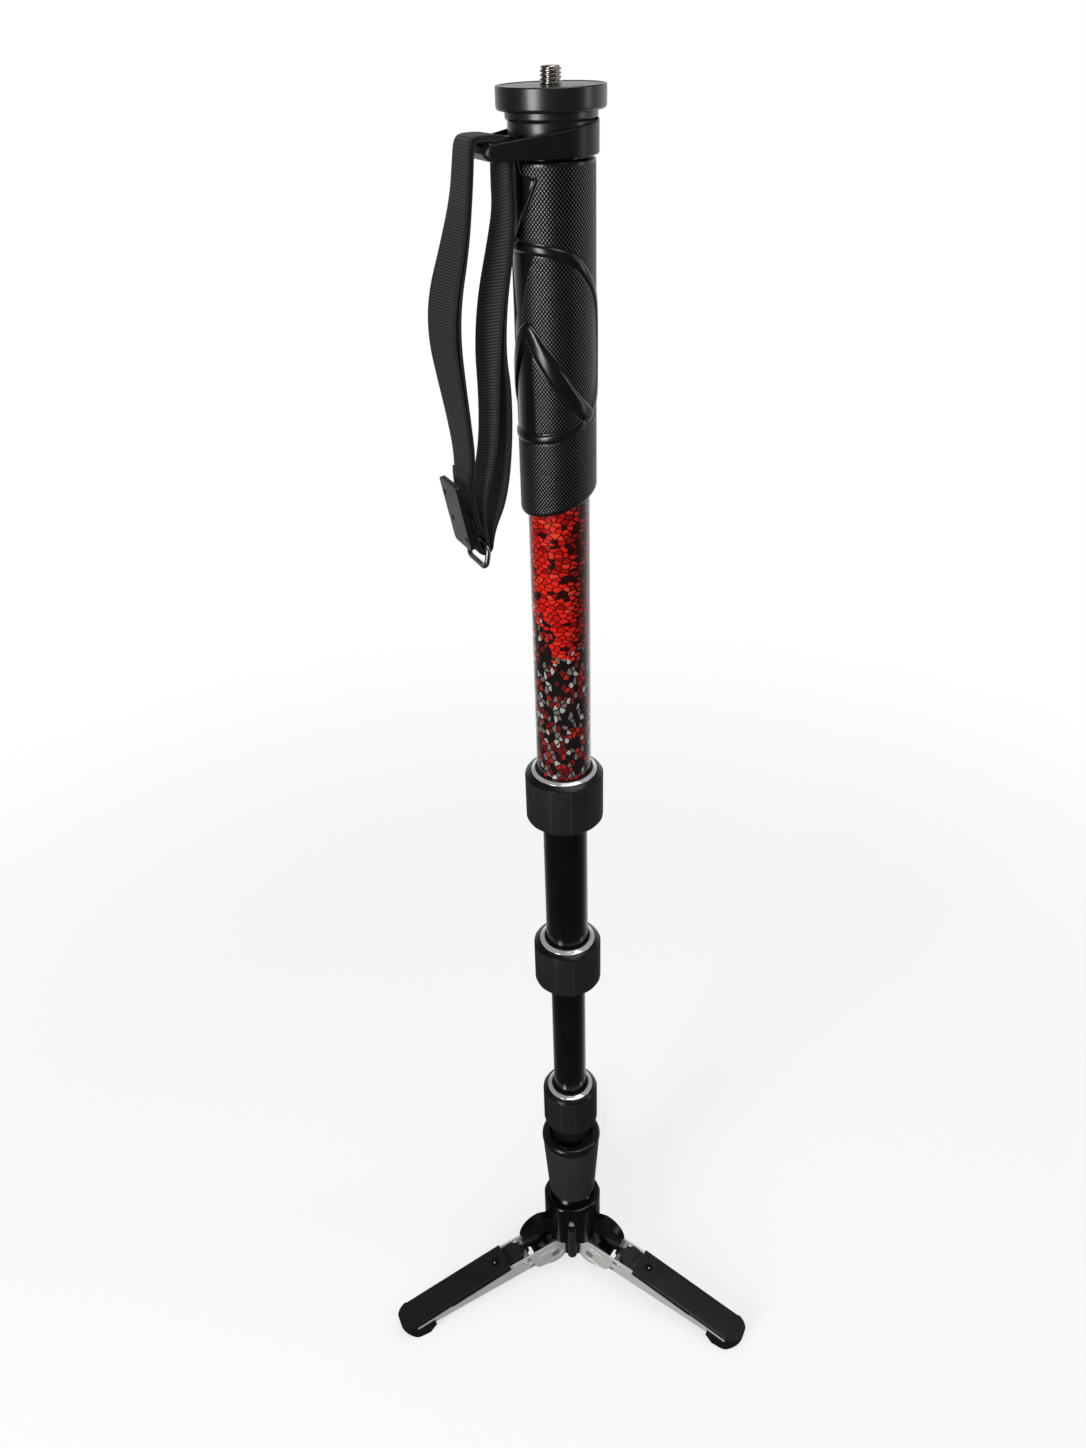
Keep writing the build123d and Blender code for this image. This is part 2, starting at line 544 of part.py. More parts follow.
def grip():
    """A sleeve round the top tube with a slanted lower end."""
    drop = math.tan(math.radians(GRIP_END_SLOPE_DEGREES))
    side = GRIP_RADIUS + CUT_OVER
    low = GRIP_END_Z - drop * side - CUT_OVER
    body = disc(GRIP_RADIUS, low, GRIP_TOP_Z)
    body = chamfer(body.edges().sort_by(Axis.Z)[-1], GRIP_TOP_EDGE)
    body -= disc(TUBE_RADII[0], low - CUT_OVER, GRIP_TOP_Z + CUT_OVER)
    cut = slab([
        (-side, GRIP_END_Z + drop * side), (side, GRIP_END_Z - drop * side),
        (side, low - side), (-side, low - side)], side)
    return body - to_azimuth(cut, LUG_AZIMUTH)


# Column tubes and bushes
def tube(i):
    return ring(TUBE_RADII[i], TUBE_RADII[i] - TUBE_WALL, TUBE_ENDS_Z[i], TUBE_TOPS_Z[i])


def tube_bush(i):
    """The slide bush on the top end of tube i, inside the next wider tube."""
    outer = TUBE_RADII[i - 1] - TUBE_WALL - RUN_FIT
    top = TUBE_TOPS_Z[i]
    sleeve = ring(outer, TUBE_RADII[i], top - BUSH_HEIGHT, top)
    return sleeve + ring(outer, TUBE_RADII[i] - TUBE_WALL, top, top + BUSH_LIP)


def lock_collet(i):
    """The threaded collar on the lower end of tube i."""
    outer = LOCK_RING_INNER_RADII[i] - RUN_FIT
    low = LOCK_BOTTOMS_Z[i] + LOCK_FLOOR + RUN_FIT
    return ring(outer, TUBE_RADII[i], low, LOCK_TOPS_Z[i] + COLLET_PROUD)


def lock_jaw(i):
    """The split ring that grips the inner tube."""
    low = LOCK_BOTTOMS_Z[i] + LOCK_FLOOR + RUN_FIT
    jaw = ring(TUBE_RADII[i], TUBE_RADII[i + 1] + RUN_FIT, low, TUBE_ENDS_Z[i])
    slit = box_span(0, TUBE_RADII[i] + CUT_OVER, JAW_SLIT / 2, low - CUT_OVER, TUBE_ENDS_Z[i] + CUT_OVER)
    return jaw - slit


def lock_body(i):
    """The hard nut under the rubber sleeve, with its shoulder and foot."""
    top = LOCK_TOPS_Z[i]
    low = LOCK_BOTTOMS_Z[i]
    sleeve_low = low + SLEEVE_FOOT
    radius = LOCK_RADII[i]
    ring_outer = LOCK_RING_OUTER_RADII[i]
    bore = LOCK_RING_INNER_RADII[i]
    foot_bore = TUBE_RADII[i + 1] + LOCK_BORE_PLAY
    core = radius - SLEEVE_THICKNESS
    lip = radius - LOCK_LIP_INSET
    foot = [(foot_bore, low), (lip - LOCK_LIP_ROUND, low), (lip, low + LOCK_LIP_ROUND), (lip, sleeve_low)]
    if i == len(LOCK_RADII) - 1:
        taper_foot = low - TAPER_HEIGHT
        foot = [(foot_bore, taper_foot), (TAPER_FOOT_RADIUS, taper_foot), (lip, low + SLEEVE_FOOT / 2),
                (lip, sleeve_low)]
    return turned(
        *foot, (core, sleeve_low), (core, top - LOCK_SHOULDER_DROP), (radius, top - LOCK_SHOULDER_DROP),
        (ring_outer, top - LOCK_RING_SLOPE), (ring_outer, top - LOCK_RING_HEIGHT),
        (bore, top - LOCK_RING_HEIGHT), (bore, low + LOCK_FLOOR), (foot_bore, low + LOCK_FLOOR))


def lock_sleeve(i):
    """The rubber sleeve, with shallow flats round it."""
    low = LOCK_BOTTOMS_Z[i] + SLEEVE_FOOT
    high = LOCK_TOPS_Z[i] - LOCK_SHOULDER_DROP
    sleeve = ring(LOCK_RADII[i], LOCK_RADII[i] - SLEEVE_THICKNESS, low, high)
    flats = Pos(0, 0, low) * extrude(
        RegularPolygon(LOCK_RADII[i] - SLEEVE_FLAT, SLEEVE_SIDES, major_radius=False), amount=high - low)
    return sleeve & flats


def lock_ring(i):
    top = LOCK_TOPS_Z[i]
    inner = LOCK_RING_INNER_RADII[i]
    outer = LOCK_RING_OUTER_RADII[i]
    return turned((inner, top - LOCK_RING_HEIGHT), (outer, top - LOCK_RING_HEIGHT),
                  (outer, top - LOCK_RING_SLOPE), (inner, top))


# Base of the column
def boot():
    web_top = BOOT_TOP_Z - BOOT_RECESS_DEPTH
    shell = turned(
        (BOOT_BORE_RADIUS, BOOT_FOOT_Z), (BOOT_FOOT_RADIUS - BOOT_EDGE, BOOT_FOOT_Z),
        (BOOT_FOOT_RADIUS, BOOT_FOOT_Z + BOOT_EDGE), (BOOT_TOP_RADIUS, BOOT_TOP_Z),
        (RIM_BORE_RADIUS, BOOT_TOP_Z), (RIM_BORE_RADIUS, web_top),
        (TUBE_RADII[3], web_top), (TUBE_RADII[3], web_top - BOOT_WEB), (BOOT_BORE_RADIUS, web_top - BOOT_WEB))
    return shell


def boot_ring():
    """The round rim on top of the boot."""
    rim = ring(RIM_RADIUS, RIM_BORE_RADIUS, BOOT_TOP_Z, BOOT_TOP_Z + RIM_HEIGHT)
    outer_edges = rim.edges().filter_by(GeomType.CIRCLE).group_by(SortBy.RADIUS)[-1]
    rim = fillet(outer_edges, RIM_ROUND)
    inner_edge = rim.edges().filter_by(GeomType.CIRCLE).sort_by(Axis.Z)[-2:]
    return fillet([edge for edge in inner_edge if edge.radius < RIM_BORE_RADIUS + RUN_FIT], BOOT_EDGE)


def base_spigot():
    """The core that holds the lowest tube and turns on the pan shaft."""
    bore = PAN_SHAFT_RADIUS + RUN_FIT
    top = BOOT_TOP_Z - BOOT_RECESS_DEPTH - BOOT_WEB
    plug = TUBE_RADII[3] - TUBE_WALL
    return turned(
        (bore, SPIGOT_FOOT_Z), (BOOT_BORE_RADIUS, SPIGOT_FOOT_Z), (BOOT_BORE_RADIUS, top),
        (TUBE_RADII[3], top), (TUBE_RADII[3], TUBE_4_FOOT_Z), (plug, TUBE_4_FOOT_Z),
        (plug, TUBE_4_FOOT_Z + SPIGOT_PLUG_LENGTH), (bore, TUBE_4_FOOT_Z + SPIGOT_PLUG_LENGTH))


def ball_stem():
    stem = Pos(0, 0, BALL_Z) * Sphere(BALL_RADIUS)
    stem += disc(STEM_RADIUS, BALL_Z, SPIGOT_FOOT_Z)
    stem += disc(STEM_FLANGE_RADIUS, SPIGOT_FOOT_Z - STEM_FLANGE_THICKNESS, SPIGOT_FOOT_Z)
    return stem + disc(PAN_SHAFT_RADIUS, SPIGOT_FOOT_Z, SPIGOT_FOOT_Z + PAN_SHAFT_LENGTH)


def ball_seat():
    seat = disc(SEAT_RADIUS - RUN_FIT, SEAT_BOTTOM_Z, BALL_Z - SEAT_TOP_GAP)
    return seat - Pos(0, 0, BALL_Z) * Sphere(BALL_RADIUS + RUN_FIT)


def seat_ring():
    """The screwed ring that keeps the ball in, with a domed top round the neck."""
    dome_foot = math.sqrt(DOME_RADIUS ** 2 - (HUB_RIM_Z - BALL_Z) ** 2)
    dome = Pos(0, 0, BALL_Z) * Sphere(DOME_RADIUS)
    body = disc(SEAT_RADIUS, RING_FOOT_Z, HUB_RIM_Z)
    body += dome & disc(dome_foot, HUB_RIM_Z, BALL_Z + DOME_RADIUS)
    opening_z = BALL_Z + math.sqrt(DOME_RADIUS ** 2 - DOME_OPENING_RADIUS ** 2)
    throat_z = BALL_Z + math.sqrt(BALL_RADIUS ** 2 - DOME_THROAT_RADIUS ** 2)
    flare = (DOME_OPENING_RADIUS - DOME_THROAT_RADIUS) / (opening_z - throat_z)
    over = DOME_OPENING_RADIUS + flare * (BALL_Z + DOME_RADIUS - opening_z)
    throat = turned((0, throat_z), (DOME_THROAT_RADIUS, throat_z), (over, BALL_Z + DOME_RADIUS),
                    (0, BALL_Z + DOME_RADIUS))
    return body - throat - Pos(0, 0, BALL_Z) * Sphere(BALL_RADIUS + RUN_FIT)


# Hub
CHANNEL_INNER = CHANNEL_HALF_WIDTH - CHANNEL_WALL
BOSS_HALF_WIDTH = CHANNEL_INNER - SIDE_PLAY
SLOT_HALF_WIDTH = CHANNEL_HALF_WIDTH + SIDE_PLAY
SLOT_START = PIVOT_RADIUS_FROM_AXIS - CHANNEL_DISC_RADIUS - SIDE_PLAY


def hub_ear():
    """The upright cam plate over one leg."""
    foot = [(EAR_HEEL_X, EAR_HEEL_H), (EAR_FOOT_X, EAR_FOOT_H)]
    slope = math.radians(LEG_SLOPE_DEGREES)
    lower = [(PIVOT_RADIUS_FROM_AXIS + x * math.cos(slope) + h * math.sin(slope),
              PIVOT_Z - x * math.sin(slope) + h * math.cos(slope)) for x, h in foot]
    crown = (EAR_ARC_X, EAR_ARC_Z + EAR_ARC_RADIUS)
    tip = (EAR_ARC_X + EAR_ARC_RADIUS, EAR_ARC_Z)
    middle_turn = math.radians(45)
    middle = (EAR_ARC_X + EAR_ARC_RADIUS * math.sin(middle_turn),
              EAR_ARC_Z + EAR_ARC_RADIUS * math.cos(middle_turn))
    root = HUB_RADIUS - RIB_PROUD
    edges = [
        ThreePointArc((crown[0], 0, crown[1]), (middle[0], 0, middle[1]), (tip[0], 0, tip[1])),
        Polyline((tip[0], 0, tip[1]), (lower[1][0], 0, lower[1][1]), (lower[0][0], 0, lower[0][1]),
                 (PIVOT_RADIUS_FROM_AXIS, 0, PIVOT_Z), (SEAT_RADIUS + RIB_PROUD, 0, PIVOT_Z),
                 (SEAT_RADIUS + RIB_PROUD, 0, crown[1] - HUB_RIM_ROUND), (root, 0, crown[1] - HUB_RIM_ROUND),
                 (crown[0], 0, crown[1]))]
    face = make_face([edge for part in edges for edge in part.edges()])
    return extrude(face, amount=EAR_HALF_WIDTH, dir=(0, 1, 0), both=True)


def radial_bar(radius, x0, x1):
    """A round bar along +X at the height of the hub screws."""
    return Pos((x0 + x1) / 2, 0, HUB_SCREW_Z) * Rot(0, 90, 0) * Cylinder(radius, x1 - x0)


def hub_screw(head_play, mouth):
    """One radial screw, or with play and a mouth the counterbored hole for it."""
    front = HUB_SCREW_FRONT
    head = radial_bar(HUB_SCREW_HEAD_RADIUS + head_play, front - HUB_SCREW_HEAD, front + mouth)
    return head + radial_bar(HUB_SCREW_RADIUS, SEAT_RADIUS, front)


def hub():
    """The cup of the ball joint, its three slotted leg knuckles, ears and ribs."""
    cup = disc(HUB_RADIUS, HUB_FLOOR_Z, HUB_RIM_Z)
    cup = fillet(cup.edges().filter_by(GeomType.CIRCLE).sort_by(Axis.Z)[-1], HUB_RIM_ROUND)
    pillar_round = disc(HUB_RADIUS - PILLAR_INSET, HUB_FOOT_Z, HUB_FLOOR_Z)
    pillar = pillar_round & box_span(0, HUB_RADIUS, PILLAR_WIDTH / 2, HUB_FOOT_Z, HUB_FLOOR_Z)
    panel = box_span(PANEL_REACH, HUB_RADIUS + CUT_OVER, PANEL_WIDTH / 2, HUB_FLOOR_Z, HUB_RIM_Z + CUT_OVER)
    cavity = disc(SEAT_RADIUS, SEAT_BOTTOM_Z, HUB_RIM_Z + CUT_OVER)
    reach = PIVOT_RADIUS_FROM_AXIS + CHANNEL_DISC_RADIUS + SIDE_PLAY
    slot = box_span(SLOT_START, reach, SLOT_HALF_WIDTH, 0, HUB_FLOOR_Z)
    knuckle = box_span(0, PIVOT_RADIUS_FROM_AXIS, BOSS_HALF_WIDTH, PIVOT_Z - BOSS_RADIUS, HUB_FLOOR_Z)
    knuckle += cross_pin(BOSS_RADIUS, PIVOT_RADIUS_FROM_AXIS, PIVOT_Z, BOSS_HALF_WIDTH)
    crown = cross_pin(BOSS_CROWN_RADIUS, PIVOT_RADIUS_FROM_AXIS, PIVOT_Z, BOSS_HALF_WIDTH)
    knuckle += crown & box_span(0, PIVOT_RADIUS_FROM_AXIS + BOSS_CROWN_RADIUS, BOSS_HALF_WIDTH,
                                PIVOT_Z, PIVOT_Z + BOSS_CROWN_RADIUS)
    pin_bore = PIVOT_PIN_RADIUS + RUN_FIT
    bore = cross_pin(pin_bore, PIVOT_RADIUS_FROM_AXIS, PIVOT_Z, BOSS_HALF_WIDTH + CUT_OVER)
    rib_centre = HUB_RADIUS + RIB_PROUD - RIB_WIDTH / 2
    rib = Pos(rib_centre, 0, HUB_FOOT_Z) * Cylinder(
        RIB_WIDTH / 2, RIB_TOP_Z - HUB_FOOT_Z, align=(Align.CENTER, Align.CENTER, Align.MIN))
    body = cup
    for azimuth in LEG_AZIMUTHS:
        body += to_azimuth(pillar, azimuth + 180)
        body -= to_azimuth(panel, azimuth + 180)
    for azimuth in LEG_AZIMUTHS:
        body -= to_azimuth(slot, azimuth)
    for azimuth in LEG_AZIMUTHS:
        body += to_azimuth(knuckle, azimuth)
        body += to_azimuth(hub_ear(), azimuth)
        body += to_azimuth(rib, azimuth + 180)
    body -= cavity
    for azimuth in LEG_AZIMUTHS:
        body -= to_azimuth(bore, azimuth)
        body -= to_azimuth(hub_screw(RUN_FIT, CUT_OVER), azimuth + 180)
    return body


def hub_screws():
    mouth = HUB_SCREW_FRONT + CUT_OVER
    screw = hub_screw(0, 0) - radial_bar(HUB_SCREW_SOCKET, HUB_SCREW_FRONT - HUB_SCREW_SOCKET, mouth)
    return Compound(children=[to_azimuth(screw, azimuth + 180).solid() for azimuth in LEG_AZIMUTHS])


# Legs
def channel():
    """The inverted steel U, with its pivot discs and the slots of the catch pin."""
    mouth = CHANNEL_TOP_H - CHANNEL_WALL
    rim = CHANNEL_DISC_RADIUS
    sides = slab([
        (0, -rim), (CHANNEL_STEP_X, CHANNEL_STEP_H), (CHANNEL_EDGE_X, CHANNEL_EDGE_H),
        (CHANNEL_FOOT_X, CHANNEL_FOOT_H),
        (CHANNEL_END_X, CHANNEL_FOOT_H + CHANNEL_FOOT_CUT), (CHANNEL_END_X, CHANNEL_TOP_H),
        (WEB_START_X, CHANNEL_TOP_H), (0, rim)], CHANNEL_HALF_WIDTH)
    sides += cross_pin(rim, 0, 0, CHANNEL_HALF_WIDTH)
    inside = box_span(WEB_START_X - CUT_OVER, CHANNEL_END_X + CUT_OVER, CHANNEL_INNER, -rim, mouth)
    front = box_span(-rim - CUT_OVER, WEB_START_X, CHANNEL_INNER, -rim - CUT_OVER, CHANNEL_TOP_H + CUT_OVER)
    body = sides - inside - front
    half = CHANNEL_HALF_WIDTH + CUT_OVER
    pin_hole = CATCH_PIN_RADIUS + RUN_FIT
    pulled_x = CATCH_PIN_X + CATCH_TRAVEL
    body -= cross_pin(pin_hole, CATCH_PIN_X, CATCH_PIN_H, half)
    body -= cross_pin(pin_hole, pulled_x, CATCH_PIN_H, half)
    body -= box_span(CATCH_PIN_X, pulled_x, half, CATCH_PIN_H - pin_hole, CATCH_PIN_H + pin_hole)
    body -= cross_pin(PIVOT_PIN_RADIUS, 0, 0, half)
    body -= cross_pin(STOP_RIVET_RADIUS, STOP_RIVET_X, STOP_RIVET_H, half)
    body -= Pos(COVER_SCREW_X, 0, mouth) * Cylinder(COVER_SCREW_RADIUS, 2 * CHANNEL_WALL + CUT_OVER)
    for side in (-1, 1):
        body -= Pos(EMBOSS_RUN / 2, side * CHANNEL_HALF_WIDTH, 0) * Rot(90, 0, 0) * emboss_line()
    return body


def emboss_line():
    """A shallow line that rings the pivot on the outer face of a channel wall."""
    outer = SlotCenterToCenter(EMBOSS_RUN, 2 * EMBOSS_HALF_WIDTH)
    inner = SlotCenterToCenter(EMBOSS_RUN, 2 * (EMBOSS_HALF_WIDTH - EMBOSS_LINE))
    return extrude(outer - inner, amount=EMBOSS_DEPTH, both=True)


def leg_cover():
    """The moulded cap on the channel, with a stepped skirt and a screw hole."""
    block = box_span(WEB_START_X, COVER_END_X, COVER_HALF_WIDTH, COVER_TOP_H - COVER_SKIRT, COVER_TOP_H)
    block -= box_span(COVER_STEP_X, COVER_END_X + CUT_OVER, COVER_HALF_WIDTH + CUT_OVER,
                      COVER_TOP_H - COVER_SKIRT - CUT_OVER, COVER_TOP_H - COVER_SKIRT_FAR)
    top_edges = block.edges().filter_by(Axis.X).group_by(Axis.Z)[-1]
    block = fillet(top_edges, COVER_EDGE)
    block -= box_span(WEB_START_X - CUT_OVER, COVER_END_X + CUT_OVER, CHANNEL_HALF_WIDTH,
                      COVER_TOP_H - COVER_SKIRT - CUT_OVER, CHANNEL_TOP_H)
    block -= box_span(WEB_START_X - CUT_OVER, COVER_PAD_X, COVER_HALF_WIDTH + CUT_OVER,
                      COVER_TOP_H - COVER_PAD_RISE, COVER_TOP_H + CUT_OVER)
    seat = CHANNEL_TOP_H + COVER_SEAT
    block -= Pos(COVER_SCREW_X, 0, seat) * Cylinder(
        COVER_HOLE_RADIUS, COVER_TOP_H, align=(Align.CENTER, Align.CENTER, Align.MIN))
    return block - Pos(COVER_SCREW_X, 0, CHANNEL_TOP_H) * Cylinder(COVER_SCREW_RADIUS, COVER_TOP_H)


def leg_screw():
    seat = CHANNEL_TOP_H + COVER_SEAT
    head = Pos(COVER_SCREW_X, 0, seat) * Cylinder(
        COVER_SCREW_HEAD_RADIUS, COVER_SCREW_HEAD, align=(Align.CENTER, Align.CENTER, Align.MIN))
    shank = Pos(COVER_SCREW_X, 0, seat) * Cylinder(
        COVER_SCREW_RADIUS, COVER_SCREW_LENGTH, align=(Align.CENTER, Align.CENTER, Align.MAX))
    return head + shank


def leg_slider():
    """The catch block that is pulled outwards to free the leg."""
    half = CHANNEL_INNER - SIDE_PLAY
    below_web = CHANNEL_TOP_H - CHANNEL_WALL - SIDE_PLAY
    plan = make_face(Polyline(
        (SLIDER_NOSE_X, -SLIDER_NOSE_HALF_WIDTH, 0), (SLIDER_SHOULDER_X, -half, 0), (SLIDER_BACK_X, -half, 0),
        (SLIDER_BACK_X, half, 0), (SLIDER_SHOULDER_X, half, 0), (SLIDER_NOSE_X, SLIDER_NOSE_HALF_WIDTH, 0),
        close=True))
    block = Pos(0, 0, SLIDER_BOTTOM_H) * extrude(plan, amount=SLIDER_TOP_H - SLIDER_BOTTOM_H)
    block += box_span(SLIDER_SHOULDER_X, SLIDER_TAIL_X, half, SLIDER_BOTTOM_H, below_web)
    tongue_top = CATCH_PIN_H + 2 * CATCH_PIN_RADIUS
    tongue = box_span(CATCH_PIN_X, SLIDER_SHOULDER_X, SLIDER_TONGUE_HALF_WIDTH, SLIDER_BOTTOM_H, tongue_top)
    tongue += cross_pin((tongue_top - SLIDER_BOTTOM_H) / 2 - RUN_FIT, CATCH_PIN_X,
                        (tongue_top + SLIDER_BOTTOM_H) / 2, SLIDER_TONGUE_HALF_WIDTH)
    block += tongue
    return block - cross_pin(CATCH_PIN_RADIUS, CATCH_PIN_X, CATCH_PIN_H, half + CUT_OVER)


def leg_foot():
    """The rubber shoe: a flat sole, a round toe and side lips that hold the steel."""
    sole = leg_frame(FOOT_SOLE_START_RADIUS, 0)
    sole_end = leg_frame(FOOT_SOLE_START_RADIUS + FOOT_SOLE_LENGTH, 0)
    outline = [
        (FOOT_START_X, FOOT_SIDE_H), (FOOT_START_X, FOOT_TAB_H), sole, sole_end, (FOOT_TIP_X, FOOT_TIP_H),
        (FOOT_TIP_X - FOOT_TOP_INSET, COVER_TOP_H), (COVER_END_X, COVER_TOP_H),
        (COVER_END_X, FOOT_SIDE_H)]
    shoe = slab(outline, FOOT_HALF_WIDTH)
    plan = box_span(0, FOOT_TIP_X - FOOT_HALF_WIDTH, FOOT_HALF_WIDTH, -FOOT_TIP_X, FOOT_TIP_X)
    plan += Pos(FOOT_TIP_X - FOOT_HALF_WIDTH, 0, 0) * Cylinder(FOOT_HALF_WIDTH, 2 * FOOT_TIP_X)
    shoe = shoe & plan
    steel = box_span(0, CHANNEL_END_X, CHANNEL_HALF_WIDTH, CHANNEL_FOOT_H - CUT_OVER, CHANNEL_TOP_H)
    plug = box_span(FOOT_START_X, CHANNEL_END_X, CHANNEL_INNER, CHANNEL_FOOT_H - CUT_OVER,
                    CHANNEL_TOP_H - CHANNEL_WALL)
    return shoe - steel + plug


def catch_pin():
    return cross_pin(CATCH_PIN_RADIUS, CATCH_PIN_X, CATCH_PIN_H, CHANNEL_HALF_WIDTH)


def pivot_pin():
    pin = cross_pin(PIVOT_PIN_RADIUS, 0, 0, CHANNEL_HALF_WIDTH + PIVOT_PIN_PROUD)
    rivet = cross_pin(STOP_RIVET_RADIUS, STOP_RIVET_X, STOP_RIVET_H, CHANNEL_HALF_WIDTH + PIVOT_PIN_PROUD)
    return Compound(children=[pin.solid(), rivet.solid()])


parts = {
    "camera_stud": camera_stud(),
    "camera_plate": camera_plate(),
    "head_neck": head_neck(),
    "strap_collar": strap_collar(),
    "strap_outer_layer": web_layer(-1),
    "strap_inner_layer": web_layer(1),
    "buckle_plate": buckle_plate(),
    "buckle_ring": buckle_ring(),
    "grip": grip(),
    "boot": boot(),
    "boot_ring": boot_ring(),
    "base_spigot": base_spigot(),
    "ball_stem": ball_stem(),
    "ball_seat": ball_seat(),
    "seat_ring": seat_ring(),
    "hub": hub(),
    "hub_screws": hub_screws(),
}
for i in range(len(TUBE_RADII)):
    parts[f"tube_{i + 1}"] = tube(i)
    if i:
        parts[f"tube_{i + 1}_bush"] = tube_bush(i)
for i in range(len(LOCK_TOPS_Z)):
    parts[f"lock_{i + 1}_collet"] = lock_collet(i)
    parts[f"lock_{i + 1}_jaw"] = lock_jaw(i)
    parts[f"lock_{i + 1}_body"] = lock_body(i)
    parts[f"lock_{i + 1}_sleeve"] = lock_sleeve(i)
    parts[f"lock_{i + 1}_ring"] = lock_ring(i)
leg_pieces = {
    "channel": channel(), "cover": leg_cover(), "slider": leg_slider(), "catch_pin": catch_pin(),
    "pivot_pin": pivot_pin(), "screw": leg_screw(), "foot": leg_foot()}
for i, azimuth in enumerate(LEG_AZIMUTHS):
    for name, piece in leg_pieces.items():
        parts[f"leg_{i + 1}_{name}"] = to_azimuth(on_leg(piece), azimuth)

os.makedirs("parts", exist_ok=True)
for name, shape in parts.items():
    export_step(shape, f"parts/{name}.step")
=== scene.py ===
import bmesh
import bpy
import json
import math
import mathutils
import numpy as np
from mathutils import Matrix, Vector


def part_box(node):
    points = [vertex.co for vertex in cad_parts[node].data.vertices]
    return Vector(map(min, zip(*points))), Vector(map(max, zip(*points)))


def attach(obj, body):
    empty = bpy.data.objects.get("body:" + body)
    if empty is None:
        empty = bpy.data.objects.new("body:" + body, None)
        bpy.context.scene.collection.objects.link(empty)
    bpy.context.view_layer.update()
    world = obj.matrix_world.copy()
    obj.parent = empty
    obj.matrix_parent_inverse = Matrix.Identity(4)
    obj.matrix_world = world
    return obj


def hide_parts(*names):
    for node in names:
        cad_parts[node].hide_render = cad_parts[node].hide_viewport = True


# The looks of a camera monopod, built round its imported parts.
# Metres, +Z up, origin on the floor under the column.  An azimuth is counted from -Y towards +X.

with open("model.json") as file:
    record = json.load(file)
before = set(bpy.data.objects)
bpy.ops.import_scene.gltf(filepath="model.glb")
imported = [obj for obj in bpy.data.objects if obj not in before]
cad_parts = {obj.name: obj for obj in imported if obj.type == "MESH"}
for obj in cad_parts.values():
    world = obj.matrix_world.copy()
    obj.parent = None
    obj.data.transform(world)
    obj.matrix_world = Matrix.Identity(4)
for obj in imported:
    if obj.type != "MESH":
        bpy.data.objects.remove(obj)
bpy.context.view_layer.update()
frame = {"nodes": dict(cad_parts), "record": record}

MM = 0.001
LUG_AZIMUTH = -60.0
SHARP_ANGLE = math.radians(38)
SOFT_ANGLE = math.radians(60)


# Camera, at the photograph's viewing angle, in degrees, metres and millimetres of film
CAMERA_AZIMUTH = 2.86
CAMERA_DISTANCE = 570.8 * MM
CAMERA_HEIGHT = 873.3 * MM
CAMERA_PITCH = 32.38
CAMERA_HEADING = -4.05
CAMERA_ROLL = -1.75
CAMERA_LENS = 28.65
SENSOR_HEIGHT = 36.0


def azimuth_direction(azimuth):
    angle = math.radians(azimuth)
    return Vector((math.sin(angle), -math.cos(angle), 0))


def to_azimuth(azimuth):
    """The turn that carries something drawn along +X to its azimuth."""
    return Matrix.Rotation(math.radians(azimuth - 90), 4, "Z")


def make_camera():
    heading = math.radians(CAMERA_HEADING)
    pitch = math.radians(CAMERA_PITCH)
    roll = math.radians(CAMERA_ROLL)
    flat = math.cos(pitch)
    look = Vector((math.sin(heading) * flat, math.cos(heading) * flat, -math.sin(pitch)))
    level = Vector((math.cos(heading), -math.sin(heading), 0))
    up = level.cross(look)
    right = math.cos(roll) * level + math.sin(roll) * up
    top = -math.sin(roll) * level + math.cos(roll) * up
    data = bpy.data.cameras.new("camera")
    data.sensor_fit = "VERTICAL"
    data.sensor_height = SENSOR_HEIGHT
    data.lens = CAMERA_LENS
    data.clip_start = 10 * MM
    camera = bpy.data.objects.new("camera", data)
    turn = Matrix((right, top, -look)).transposed().to_4x4()
    place = azimuth_direction(CAMERA_AZIMUTH) * CAMERA_DISTANCE + Vector((0, 0, CAMERA_HEIGHT))
    camera.matrix_world = Matrix.Translation(place) @ turn
    bpy.context.collection.objects.link(camera)
    bpy.context.scene.camera = camera


